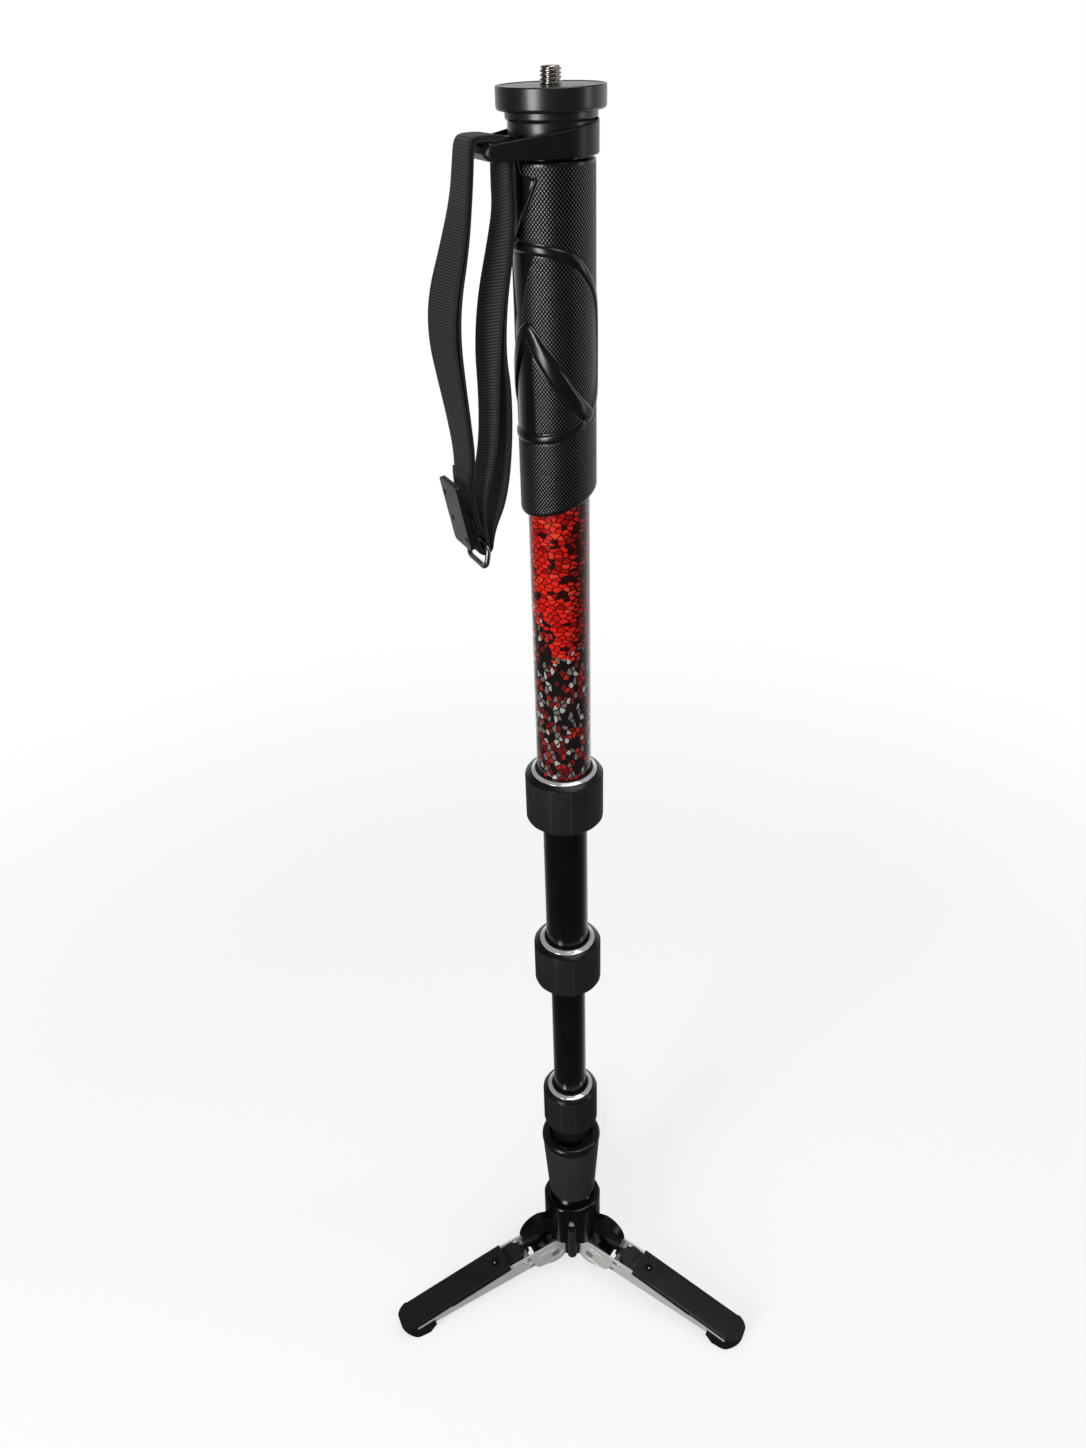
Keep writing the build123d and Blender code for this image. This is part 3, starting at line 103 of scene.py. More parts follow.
# Node helpers
class Nodes:
    """A short way to write a node tree."""

    def __init__(self, tree):
        self.tree = tree
        tree.nodes.clear()

    def add(self, kind, **settings):
        node = self.tree.nodes.new(kind)
        for key, value in settings.items():
            setattr(node, key, value)
        return node

    def link(self, source, target):
        self.tree.links.new(source, target)

    def feed(self, node, inputs):
        for key, value in inputs.items():
            if isinstance(value, bpy.types.NodeSocket):
                self.link(value, node.inputs[key])
            else:
                node.inputs[key].default_value = value
        return node

    def math(self, operation, first, second=0.0, clamp=False):
        node = self.add("ShaderNodeMath", operation=operation, use_clamp=clamp)
        return self.feed(node, {0: first, 1: second}).outputs[0]

    def plus(self, first, second):
        return self.math("ADD", first, second)

    def minus(self, first, second):
        return self.math("SUBTRACT", first, second)

    def times(self, first, second):
        return self.math("MULTIPLY", first, second)

    def over(self, first, second):
        return self.math("GREATER_THAN", first, second)

    def ribs(self, count):
        """Round ridges, one for each whole number that the count passes."""
        return self.math("ABSOLUTE", self.math("SINE", self.times(count, math.pi)))

    def mix(self, factor, first, second):
        node = self.add("ShaderNodeMix", data_type="RGBA")
        return self.feed(node, {0: factor, 6: first, 7: second}).outputs[2]

    def blend(self, factor, first, second):
        node = self.add("ShaderNodeMix", data_type="FLOAT")
        return self.feed(node, {0: factor, 2: first, 3: second}).outputs[0]

    def span(self, value, low, high, to_low=0.0, to_high=1.0, curve="LINEAR"):
        """A value carried from one range to another."""
        node = self.add("ShaderNodeMapRange", interpolation_type=curve)
        return self.feed(node, {"Value": value, "From Min": low, "From Max": high,
                                "To Min": to_low, "To Max": to_high}).outputs[0]

    def place(self, space="Object"):
        return self.add("ShaderNodeTexCoord").outputs[space]

    def split(self, vector):
        return self.feed(self.add("ShaderNodeSeparateXYZ"), {0: vector}).outputs

    def coordinates(self, scale=(1, 1, 1)):
        mapping = self.add("ShaderNodeMapping")
        return self.feed(mapping, {"Vector": self.place(), "Scale": scale}).outputs[0]

    def noise(self, scale, detail=3.0, roughness=0.5, vector=None):
        node = self.add("ShaderNodeTexNoise")
        self.feed(node, {"Scale": scale, "Detail": detail, "Roughness": roughness,
                         "Vector": self.coordinates() if vector is None else vector})
        return node.outputs["Fac"]

    def ramp(self, factor, stops, curve="LINEAR"):
        node = self.feed(self.add("ShaderNodeValToRGB"), {0: factor})
        node.color_ramp.interpolation = curve
        elements = node.color_ramp.elements
        while len(elements) < len(stops):
            elements.new(0.5)
        for element, (place, colour) in zip(elements, stops):
            element.position = place
            element.color = colour
        return node.outputs[0]

    def bump(self, height, strength, distance, normal=None):
        node = self.add("ShaderNodeBump")
        self.feed(node, {"Height": height, "Strength": strength, "Distance": distance})
        if normal is not None:
            self.link(normal, node.inputs["Normal"])
        return node.outputs[0]

    def around(self):
        """Arc angle about the column axis in radians, from -Y towards +X, and the height, in metres."""
        x, y, z = self.split(self.place())
        return self.math("ARCTAN2", x, self.times(y, -1.0)), z


def grey(value, tint=(1, 1, 1)):
    return tuple(value * channel for channel in tint) + (1,)


def new_material(name):
    material = bpy.data.materials.new(name)
    material.use_nodes = True
    return material, Nodes(material.node_tree)


def finish_material(nodes, colour, roughness, normal, sockets):
    shader = nodes.add("ShaderNodeBsdfPrincipled")
    nodes.feed(shader, {"Base Color": colour, "Roughness": roughness, "Normal": normal, **sockets})
    output = nodes.add("ShaderNodeOutputMaterial")
    nodes.link(shader.outputs[0], output.inputs[0])


# Depths of the surface grain
GRAIN_DEPTH = 0.12 * MM
POLISH_DEPTH = 0.05 * MM
# Flats of the lock sleeves: how many, where the first crease is, and half the width of the painted highlight
# on each crease as a share of a flat
LOCK_FLATS = 12
LOCK_CREASE = math.radians(12)
RIDGE_HIGHLIGHT_HALF_SHARE = 0.017


def moulded(name, dark, light, rough, grain_scale, grain, tint=(1, 1, 1), specular=0.5, ridge_highlights=0):
    """Moulded plastic or rubber: fine spark-eroded grain, slight cloudiness and handling marks.
    The ridge_highlights count gives so many fine pale lines down a turned piece, painted highlights on the
    creases between its flats."""
    material, nodes = new_material(name)
    cloud = nodes.noise(38.0, 5.0, 0.6)
    scuff = nodes.noise(170.0, 6.0, 0.7)
    colour = nodes.ramp(cloud, [(0.3, grey(dark, tint)), (0.75, grey(light, tint))])
    smear = nodes.plus(nodes.times(cloud, 0.5), nodes.times(scuff, 0.5))
    normal = nodes.bump(nodes.noise(grain_scale, 2.0, 0.5), grain, GRAIN_DEPTH)
    if ridge_highlights:
        angle = nodes.around()[0]
        turn = nodes.times(nodes.minus(angle, LOCK_CREASE), ridge_highlights / (2 * math.pi))
        part = nodes.math("FRACT", nodes.plus(turn, 0.5 + ridge_highlights))
        line = nodes.math("LESS_THAN", nodes.math("ABSOLUTE", nodes.minus(part, 0.5)), RIDGE_HIGHLIGHT_HALF_SHARE)
        # Painted highlights: a fine pale line on each crease between the flats
        colour = nodes.mix(line, colour, grey(2.2 * light, tint))
    finish_material(nodes, colour, nodes.span(smear, 0.3, 0.7, *rough), normal,
                    {"Specular IOR Level": specular})
    return material


def metal(name, colour, dark, rough, stretch=(1, 1, 1), scale=900.0, strength=0.05, metallic=1.0):
    """Bare or plated metal with a fine directional finish."""
    material, nodes = new_material(name)
    line = nodes.noise(scale, 4.0, 0.65, nodes.coordinates(stretch))
    cloud = nodes.noise(60.0, 4.0, 0.55)
    base = nodes.mix(nodes.math("MULTIPLY", cloud, 0.9, True), colour + (1,), dark + (1,))
    normal = nodes.bump(line, strength, POLISH_DEPTH)
    finish_material(nodes, base, nodes.span(line, 0.3, 0.7, *rough), normal, {"Metallic": metallic})
    return material


def lacquer(name, dark, light, tint, rough=(0.16, 0.28)):
    """A gloss anodised tube: faint drawing lines along it, a clear coat and a warm cast."""
    material, nodes = new_material(name)
    angle, height = nodes.around()
    drawn = nodes.add("ShaderNodeCombineXYZ")
    nodes.feed(drawn, {0: nodes.times(angle, 14.0), 1: nodes.times(height, 3.0)})
    line = nodes.noise(9.0, 5.0, 0.6, drawn.outputs[0])
    cloud = nodes.noise(45.0, 4.0, 0.5)
    colour = nodes.ramp(nodes.times(nodes.plus(line, cloud), 0.5),
                        [(0.35, grey(dark, tint)), (0.7, grey(light, tint))])
    normal = nodes.bump(line, 0.03, POLISH_DEPTH)
    finish_material(nodes, colour, nodes.span(line, 0.3, 0.7, *rough), normal,
                    {"Coat Weight": 0.25, "Coat Roughness": 0.08, "Specular IOR Level": 0.3})
    return material


# Tube print: a generic confetti of tilted flakes, red at the top and dark below
PRINT_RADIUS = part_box("tube_1")[1][0]
PRINT_TURN_Z = 580 * MM
PRINT_BLEND = 14 * MM
PRINT_WIND = 16 * MM
PRINT_WAVE = 46 * MM
PRINT_DENSE_Z = 475 * MM
PRINT_OPEN_Z = 525 * MM
PRINT_CEILING_Z = 700 * MM
PRINT_CELL = 4.1 * MM
FILM_DEPTH = 0.04 * MM


def print_layer(nodes, across, along, cell, stretch, turn, seed):
    """One layer of flakes: the distance to a flake's edge, and two random values for each flake."""
    flat = nodes.add("ShaderNodeCombineXYZ")
    nodes.feed(flat, {0: nodes.math("DIVIDE", across, cell), 1: nodes.math("DIVIDE", along, cell), 2: seed})
    turned = nodes.add("ShaderNodeMapping")
    nodes.feed(turned, {"Vector": flat.outputs[0], "Scale": (1.0, 1.0 / stretch, 1.0),
                        "Rotation": (0, 0, turn)})
    edge, cells = [
        nodes.feed(nodes.add("ShaderNodeTexVoronoi", feature=feature, voronoi_dimensions="2D"),
                   {"Vector": turned.outputs[0], "Scale": 1.0, "Randomness": 0.82})
        for feature in ("DISTANCE_TO_EDGE", "F1")]
    pick = nodes.feed(nodes.add("ShaderNodeSeparateColor"), {0: cells.outputs["Color"]})
    return edge.outputs["Distance"], pick.outputs[0], pick.outputs[1]


def tube_print_material():
    material, nodes = new_material("tube_print")
    angle, height = nodes.around()
    across = nodes.times(angle, PRINT_RADIUS)
    # Red above and dark below, along an edge that winds round the tube
    wind = nodes.times(nodes.math("SINE", nodes.plus(angle, 0.9)), PRINT_WIND)
    wave = nodes.times(nodes.minus(nodes.noise(52.0, 2.0, 0.5), 0.5), PRINT_WAVE)
    level = nodes.plus(height, nodes.plus(wind, wave))
    warm = nodes.span(level, PRINT_TURN_Z - PRINT_BLEND, PRINT_TURN_Z + PRINT_BLEND)
    dense = nodes.span(height, PRINT_OPEN_Z, PRINT_DENSE_Z)
    edge, pick, shade = print_layer(nodes, across, height, PRINT_CELL, 0.62, math.radians(34), 0.0)
    small_edge, small_pick, small_shade = print_layer(
        nodes, across, height, PRINT_CELL * 0.66, 1.45, math.radians(-33), 3.0)
    # Painted shade: the reds darken towards the right side, away from the key light, and the gaps between
    # the flakes widen there
    shade_sweep = nodes.span(nodes.math("COSINE", nodes.plus(angle, 0.35)), 0.35, 1.0, 0.62, 0.0, "SMOOTHSTEP")
    reds = nodes.ramp(pick, [
        (0.0, (0.30, 0.004, 0.003, 1)), (0.2, (0.62, 0.008, 0.005, 1)), (0.5, (0.88, 0.012, 0.006, 1)),
        (0.8, (0.96, 0.018, 0.008, 1)), (1.0, (0.97, 0.060, 0.022, 1))])
    reds = nodes.mix(shade_sweep, reds, (0.10, 0.002, 0.002, 1))
    gap = nodes.plus(nodes.times(shade_sweep, 0.12), 0.085)
    red_part = nodes.mix(nodes.over(edge, gap), (0.012, 0.002, 0.002, 1), reds)
    kept = nodes.over(shade, nodes.plus(nodes.times(shade_sweep, 0.3), 0.11))
    red_part = nodes.mix(kept, (0.03, 0.004, 0.004, 1), red_part)
    flakes = nodes.ramp(small_pick, [
        (0.0, (0.012, 0.008, 0.008, 1)), (0.24, (0.03, 0.008, 0.008, 1)), (0.30, (0.22, 0.008, 0.006, 1)),
        (0.50, (0.50, 0.022, 0.014, 1)), (0.62, (0.20, 0.18, 0.17, 1)),
        (0.82, (0.52, 0.50, 0.47, 1))], "CONSTANT")
    kept = nodes.over(nodes.plus(small_shade, nodes.times(dense, 0.3)), 0.14)
    dark_part = nodes.mix(nodes.times(nodes.over(small_edge, 0.12), kept), (0.014, 0.009, 0.009, 1), flakes)
    is_red = nodes.over(nodes.plus(warm, nodes.times(nodes.minus(pick, 0.5), 0.5)), 0.5)
    colour = nodes.mix(is_red, dark_part, red_part)
    colour = nodes.mix(nodes.over(height, PRINT_CEILING_Z), colour, grey(0.006))
    normal = nodes.bump(nodes.noise(700.0, 2.0, 0.5), 0.02, FILM_DEPTH)
    finish_material(nodes, colour, 0.22, normal,
                    {"Coat Weight": 0.45, "Coat Roughness": 0.05, "Specular IOR Level": 0.35})
    return material


GRIP_PITCH = 1.85 * MM
GRIP_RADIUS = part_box("grip")[1][0]
KNURL_DEPTH = 0.16 * MM


def grip_material():
    """Rubber with a moulded diamond texture where the knurl attribute is one; its grooves are painted dark
    as shade and its diamond tops painted light as highlights.
    """
    material, nodes = new_material("grip_rubber")
    angle, height = nodes.around()
    mask = nodes.add("ShaderNodeAttribute", attribute_name="knurl").outputs["Fac"]
    turns = round(2 * math.pi * GRIP_RADIUS / GRIP_PITCH)
    column = nodes.times(angle, turns / (2 * math.pi))
    row = nodes.math("DIVIDE", height, GRIP_PITCH * 1.15)
    crossing = nodes.times(nodes.ribs(nodes.plus(column, row)), nodes.ribs(nodes.minus(column, row)))
    diamond = nodes.math("POWER", crossing, 1.2)
    cloud = nodes.noise(30.0, 4.0, 0.55)
    smooth_black = nodes.ramp(cloud, [(0.3, grey(0.005)), (0.75, grey(0.008))])
    # Painted shade in the knurl's grooves and painted highlights on its diamond tops
    knurl_shading = nodes.ramp(diamond, [(0.15, grey(0.0005)), (0.5, grey(0.010)), (0.95, grey(0.060))])
    rough = nodes.plus(nodes.plus(nodes.times(mask, 0.12), nodes.times(cloud, 0.12)), 0.18)
    normal = nodes.bump(nodes.noise(3200.0, 2.0, 0.5), 0.06, POLISH_DEPTH)
    normal = nodes.bump(nodes.times(diamond, mask), 0.7, KNURL_DEPTH, normal)
    # The grooves of the knurl don't shine
    shine = nodes.blend(mask, 0.8, nodes.span(diamond, 0.2, 0.7, 0.05, 1.6))
    colour = nodes.mix(mask, smooth_black, knurl_shading)
    finish_material(nodes, colour, rough, normal, {"Specular IOR Level": shine})
    return material


# Webbing: the length of one rib on each face, and how deep the weave is
FINE_RIB = 1.25 * MM
BOLD_RIB = 1.45 * MM
TAB_THREAD = 1.7 * MM
FUZZ_DEPTH = 0.06 * MM
WEAVE_DEPTH = 0.22 * MM


def webbing_material():
    """Woven nylon.  The weave map holds the place across the strap, 0 to 1, and along it in metres.
    The coarse attribute is 0 on the fine face, 1 on the ribbed face and 2 on the stitched tab."""
    material, nodes = new_material("webbing")
    across, along = nodes.split(nodes.add("ShaderNodeUVMap", uv_map="weave").outputs[0])[:2]
    coarse = nodes.add("ShaderNodeAttribute", attribute_name="coarse").outputs["Fac"]
    ribbed = nodes.over(coarse, 0.5)
    # Fine face: low ribs straight across, over fine threads along it
    fine_rib = nodes.ribs(nodes.math("DIVIDE", along, FINE_RIB))
    warp = nodes.ribs(nodes.times(across, 22))
    fine_face = nodes.plus(nodes.times(fine_rib, 0.75), nodes.times(warp, 0.25))
    # Ribbed face: bold ribs that climb a little towards one edge
    bold_rib = nodes.ribs(nodes.plus(nodes.math("DIVIDE", along, BOLD_RIB), nodes.times(across, 3.4)))
    # Tab: two crossing sets of threads
    lift = nodes.math("DIVIDE", along, TAB_THREAD)
    lean = nodes.times(across, 10.0)
    crossed = nodes.times(nodes.ribs(nodes.plus(lift, lean)), nodes.ribs(nodes.minus(lift, lean)))
    weave = nodes.blend(nodes.over(coarse, 1.5), nodes.blend(ribbed, fine_face, bold_rib), crossed)
    # Plain dense selvedge at both edges, with a fine dark line inside it
    off = nodes.math("ABSOLUTE", nodes.minus(across, 0.5))
    selvedge = nodes.over(off, 0.452)
    line = nodes.math("LESS_THAN", nodes.math("ABSOLUTE", nodes.minus(off, 0.440)), 0.010)
    fuzz = nodes.noise(2400.0, 3.0, 0.6)
    cloud = nodes.noise(90.0, 4.0, 0.6)
    tone = nodes.plus(nodes.times(weave, 0.72), nodes.times(fuzz, 0.28))
    # Painted shade in the valleys of the weave and painted light on its ribs: the colour follows the weave's
    # height, with random fuzz
    fine_weave_shading = nodes.ramp(tone, [(0.1, grey(0.003)), (0.5, grey(0.018)), (0.95, grey(0.060))])
    bold_weave_shading = nodes.ramp(tone, [(0.15, grey(0.003)), (0.55, grey(0.028)), (0.95, grey(0.085))])
    colour = nodes.mix(ribbed, fine_weave_shading, bold_weave_shading)
    colour = nodes.mix(nodes.times(selvedge, 0.7), colour, grey(0.012))
    colour = nodes.mix(line, colour, grey(0.005))
    colour = nodes.mix(nodes.times(cloud, 0.3), colour, grey(0.009))
    normal = nodes.bump(fuzz, 0.15, FUZZ_DEPTH)
    normal = nodes.bump(nodes.times(weave, nodes.minus(1.0, selvedge)), 0.75, WEAVE_DEPTH, normal)
    finish_material(nodes, colour, 0.68, normal,
                    {"Sheen Weight": 0.18, "Sheen Roughness": 0.4, "Specular IOR Level": 0.3})
    return material


# The hub's ribs: their outer faces lie beyond the reach and below the top, and are matte.
# The last value is the cosine of three times the angle from a rib's middle to its edge.
HUB_RIB_REACH = 19.4 * MM
HUB_RIB_TOP = 54 * MM
HUB_RIB_COSINE = 0.9
HUB_GRAIN_DEPTH = 0.1 * MM


def hub_material():
    """Gloss black moulding, matte and a little lighter on the outer faces of its low ribs."""
    material, nodes = new_material("hub_plastic")
    x, y, z = nodes.split(nodes.place())
    reach = nodes.math("SQRT", nodes.plus(nodes.times(x, x), nodes.times(y, y)))
    on_post = nodes.over(nodes.math("COSINE", nodes.times(nodes.around()[0], 3.0)), HUB_RIB_COSINE)
    rib = nodes.times(nodes.times(nodes.over(reach, HUB_RIB_REACH), on_post),
                      nodes.math("LESS_THAN", z, HUB_RIB_TOP))
    cloud = nodes.noise(60.0, 5.0, 0.6)
    gloss = nodes.ramp(cloud, [(0.3, grey(0.002)), (0.75, grey(0.004))])
    matte = nodes.ramp(cloud, [(0.3, grey(0.018)), (0.75, grey(0.024))])
    rough = nodes.plus(nodes.plus(nodes.times(cloud, 0.14), 0.12), nodes.times(rib, 0.34))
    normal = nodes.bump(nodes.noise(1700.0, 2.0, 0.5), 0.03, HUB_GRAIN_DEPTH)
    finish_material(nodes, nodes.mix(rib, gloss, matte), rough, normal, {"Specular IOR Level": 0.5})
    return material


MATERIALS = {
    "stud_steel": metal("stud_steel", (0.66, 0.63, 0.59), (0.42, 0.39, 0.36), (0.18, 0.34)),
    "head_paint": moulded("head_paint", 0.009, 0.013, (0.24, 0.34), 1800.0, 0.05, specular=0.95),
    "collar_plastic": moulded("collar_plastic", 0.006, 0.009, (0.30, 0.42), 1500.0, 0.10),
    "webbing": webbing_material(),
    "buckle_plastic": moulded("buckle_plastic", 0.008, 0.012, (0.28, 0.40), 1800.0, 0.08,
                              (1, 0.97, 0.94), 0.35),
    "buckle_wire": metal("buckle_wire", (0.40, 0.38, 0.36), (0.20, 0.19, 0.18), (0.22, 0.38)),
    "grip_rubber": grip_material(),
    "tube_print": tube_print_material(),
    "tube_black": lacquer("tube_black", 0.003, 0.007, (1.0, 0.72, 0.55)),
    "bush_plastic": moulded("bush_plastic", 0.62, 0.72, (0.45, 0.6), 1400.0, 0.06, (1, 0.98, 0.92)),
    "lock_plastic": moulded("lock_plastic", 0.006, 0.010, (0.24, 0.36), 2000.0, 0.05, specular=0.4),
    "lock_rubber": moulded("lock_rubber", 0.013, 0.020, (0.55, 0.70), 2600.0, 0.22, (1.0, 0.90, 0.82), 0.35,
                           LOCK_FLATS),
    "lock_chrome": metal("lock_chrome", (0.92, 0.92, 0.93), (0.86, 0.86, 0.87), (0.06, 0.14),
                         strength=0.01, metallic=0.55),
    "boot_plastic": moulded("boot_plastic", 0.026, 0.036, (0.42, 0.55), 1600.0, 0.14, specular=0.45),
    "rim_plastic": moulded("rim_plastic", 0.006, 0.009, (0.16, 0.28), 2200.0, 0.04),
    "spigot_metal": metal("spigot_metal", (0.62, 0.62, 0.63), (0.48, 0.48, 0.49), (0.25, 0.4)),
    "ball_steel": metal("ball_steel", (0.60, 0.60, 0.60), (0.42, 0.42, 0.42), (0.10, 0.22)),
    "seat_brass": metal("seat_brass", (0.72, 0.54, 0.26), (0.52, 0.38, 0.17), (0.22, 0.36)),
    "hub_plastic": hub_material(),
    "screw_steel": metal("screw_steel", (0.80, 0.80, 0.81), (0.62, 0.62, 0.63), (0.14, 0.28), metallic=0.7),
    # Black screws, painted darker still, near black with little shine, as shade for the deep holes they sit
    # in
    "screw_black": moulded("screw_black", 0.002, 0.004, (0.4, 0.6), 1800.0, 0.05, specular=0.15),
    "leg_steel": metal("leg_steel", (0.93, 0.915, 0.89), (0.80, 0.785, 0.76), (0.30, 0.44),
                       (1, 1, 6), 420.0, 0.05, 0.3),
    "leg_plastic": moulded("leg_plastic", 0.009, 0.014, (0.34, 0.48), 1700.0, 0.12, (0.97, 0.98, 1.05), 0.4),
    "catch_plastic": moulded("catch_plastic", 0.010, 0.016, (0.36, 0.50), 1700.0, 0.12, (0.97, 0.98, 1.03)),
    "pin_chrome": metal("pin_chrome", (0.88, 0.88, 0.88), (0.76, 0.76, 0.76), (0.06, 0.14), metallic=0.7),
    "foot_rubber": moulded("foot_rubber", 0.007, 0.012, (0.44, 0.60), 2200.0, 0.16, specular=0.4),
}


# Mesh helpers: how near two points are one, and the angles of a flat and of an edge that is softened
SAME_POINT = 0.0001 * MM
SAME_CORNER = 0.002 * MM
FLAT_ANGLE = math.radians(1)
BEVEL_ANGLE = math.radians(28)


def body_of(node):
    for body, members in frame["record"]["behaviour"]["bodies"].items():
        if node in members:
            return body
    raise ValueError(node)


def slot_of(node):
    for entry in frame["record"]["subparts"]:
        if entry["node"] == node:
            return entry["material_slot"]
    raise ValueError(node)


def smooth(mesh, angle=SHARP_ANGLE):
    mesh.shade_smooth()
    mesh.set_sharp_from_angle(angle=angle)


def add_piece(name, mesh, slot, body, replaces=(), angle=SHARP_ANGLE):
    smooth(mesh, angle)
    mesh.materials.clear()
    mesh.materials.append(MATERIALS[slot])
    piece = bpy.data.objects.new(name, mesh)
    bpy.context.collection.objects.link(piece)
    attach(piece, body)
    if replaces:
        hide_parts(*replaces)
    return piece


def mesh_from(name, points, faces):
    mesh = bpy.data.meshes.new(name)
    mesh.from_pydata([tuple(p) for p in points], [], faces)
    mesh.validate()
    mesh.update()
    return mesh


def mesh_of(work, name):
    """A mesh with what the bmesh holds, which is then freed."""
    mesh = bpy.data.meshes.new(name)
    work.to_mesh(mesh)
    work.free()
    return mesh


def ring_points(radius, z, count):
    angles = [2 * math.pi * i / count for i in range(count)]
    return [(radius * math.sin(angle), -radius * math.cos(angle), z) for angle in angles]


def ring_faces(rows, count):
    """Faces between closed rings of so many points, one ring after another."""
    faces = []
    for k in range(rows):
        for i in range(count):
            after = (i + 1) % count
            faces.append((k * count + i, k * count + after, (k + 1) * count + after, (k + 1) * count + i))
    return faces


def sizes(node):
    """The widest radius, the foot and the top of a turned part, in millimetres."""
    low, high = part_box(node)
    return high[0] / MM, low[2] / MM, high[2] / MM


def rounded(points, radii, steps):
    """A closed (r, z) outline with its corners rounded; a radius of zero keeps the corner."""
    outline = []
    count = len(points)
    for i, (corner, radius) in enumerate(zip(points, radii)):
        here = Vector(corner)
        if not radius:
            outline.append(here)
            continue
        before = Vector(points[i - 1]) - here
        after = Vector(points[(i + 1) % count]) - here
        half = before.angle(after) / 2
        reach = min(radius / math.tan(half), before.length * 0.48, after.length * 0.48)
        true_radius = reach * math.tan(half)
        middle = (before.normalized() + after.normalized()).normalized()
        centre = here + middle * (true_radius / math.sin(half))
        start = here + before.normalized() * reach
        end = here + after.normalized() * reach
        first = start - centre
        shade_sweep = first.angle_signed(end - centre)
        for k in range(steps + 1):
            turned = first.copy()
            turned.rotate(Matrix.Rotation(-shade_sweep * k / steps, 2))
            outline.append(centre + turned)
    return outline


def lathe_mesh(name, outline, segments=144, shape=None):
    """Turn a closed (r, z) outline about the column axis; shape(angle, r, z) may change a radius."""
    points = []
    faces = []
    rings = len(outline)
    for s in range(segments):
        angle = 2 * math.pi * s / segments
        for r, z in outline:
            radius = shape(angle, r, z) if shape else r
            points.append((radius * math.sin(angle), -radius * math.cos(angle), z))
    for s in range(segments):
        after = (s + 1) % segments
        for k in range(rings):
            up = (k + 1) % rings
            faces.append((s * rings + k, after * rings + k, after * rings + up, s * rings + up))
    mesh = mesh_from(name, points, faces)
    tidy_mesh(mesh)
    return mesh


def tidy_mesh(mesh, merge=True):
    """Point the normals outwards, and merge doubled points."""
    work = bmesh.new()
    work.from_mesh(mesh)
    if merge:
        bmesh.ops.remove_doubles(work, verts=work.verts, dist=SAME_POINT)
    bmesh.ops.recalc_face_normals(work, faces=work.faces)
    work.to_mesh(mesh)
    work.free()


def turned_piece(name, node, corners, radii, segments=144, shape=None, steps=6):
    """A turned piece that stands for a node; corners are (r, z) in millimetres."""
    outline = rounded([(r * MM, z * MM) for r, z in corners], [radius * MM for radius in radii], steps)
    mesh = lathe_mesh(name, outline, segments, shape)
    add_piece(name, mesh, slot_of(node), body_of(node), (node,))


def softened(node, width, segments):
    """A copy of a part's mesh with its sharp edges rounded off, which stands for the part."""
    name = node + "_shown"
    work = bmesh.new()
    work.from_mesh(frame["nodes"][node].data)
    bmesh.ops.remove_doubles(work, verts=work.verts, dist=SAME_CORNER)
    bmesh.ops.dissolve_limit(work, angle_limit=FLAT_ANGLE, verts=work.verts, edges=work.edges)
    piece = add_piece(name, mesh_of(work, name), slot_of(node), body_of(node), (node,))
    bevel = piece.modifiers.new("edges", "BEVEL")
    bevel.width = width * MM
    bevel.segments = segments
    bevel.limit_method = "ANGLE"
    bevel.angle_limit = BEVEL_ANGLE
    bevel.use_clamp_overlap = True
    bevel.miter_outer = "MITER_ARC"


# Camera head.  Small sizes are in millimetres from here on, and a mesh gets them times MM.
THREAD_PITCH = 1.5875
THREAD_DEPTH = 0.82
THREAD_CREST_RADIUS = 4.76
THREAD_POINT = 0.9
THREAD_SUNK = 1.0
DISH_RADIUS = 2.6
DISH_DEPTH = 0.25
PLATE_BORE = 4.9
PLATE_FOOT_ROUND = 1.6
PLATE_TOP_ROUND = 0.9
PLATE_RIM = 1.4
PLATE_STEP = 0.5
PLATE_STEP_DEPTH = 0.3
NECK_HEAD = 2.8
NECK_TAPER = 1.2
NECK_GAP = 0.1
TUBE_WALL = 1.2


def make_stud():
    """The camera screw: a thread with a pointed end and a dished top."""
    top = sizes("camera_stud")[2]
    foot = sizes("camera_plate")[2] - THREAD_SUNK
    segments = 96
    rows = 110
    points = []
    for k in range(rows + 1):
        z = foot + (top - foot) * k / rows
        for s in range(segments):
            angle = 2 * math.pi * s / segments
            phase = ((z - foot) / THREAD_PITCH - s / segments) % 1.0
            ridge = min(1.0, max(0.0, 1.6 * abs(2 * phase - 1) - 0.25))
            radius = THREAD_CREST_RADIUS - max(THREAD_DEPTH * (1 - ridge), THREAD_POINT - (top - z))
            points.append((radius * math.sin(angle), -radius * math.cos(angle), z))
    points += ring_points(DISH_RADIUS, top, segments)
    points += ring_points(DISH_RADIUS * 0.9, top - DISH_DEPTH, segments)
    faces = ring_faces(rows + 2, segments)
    faces.append(tuple(range(len(points) - segments, len(points))))
    faces.append(tuple(reversed(range(segments))))
    mesh = mesh_from("camera_screw_thread", [Vector(point) * MM for point in points], faces)
    add_piece("camera_screw_thread", mesh, "stud_steel", "section_1", ("camera_stud",), math.radians(50))


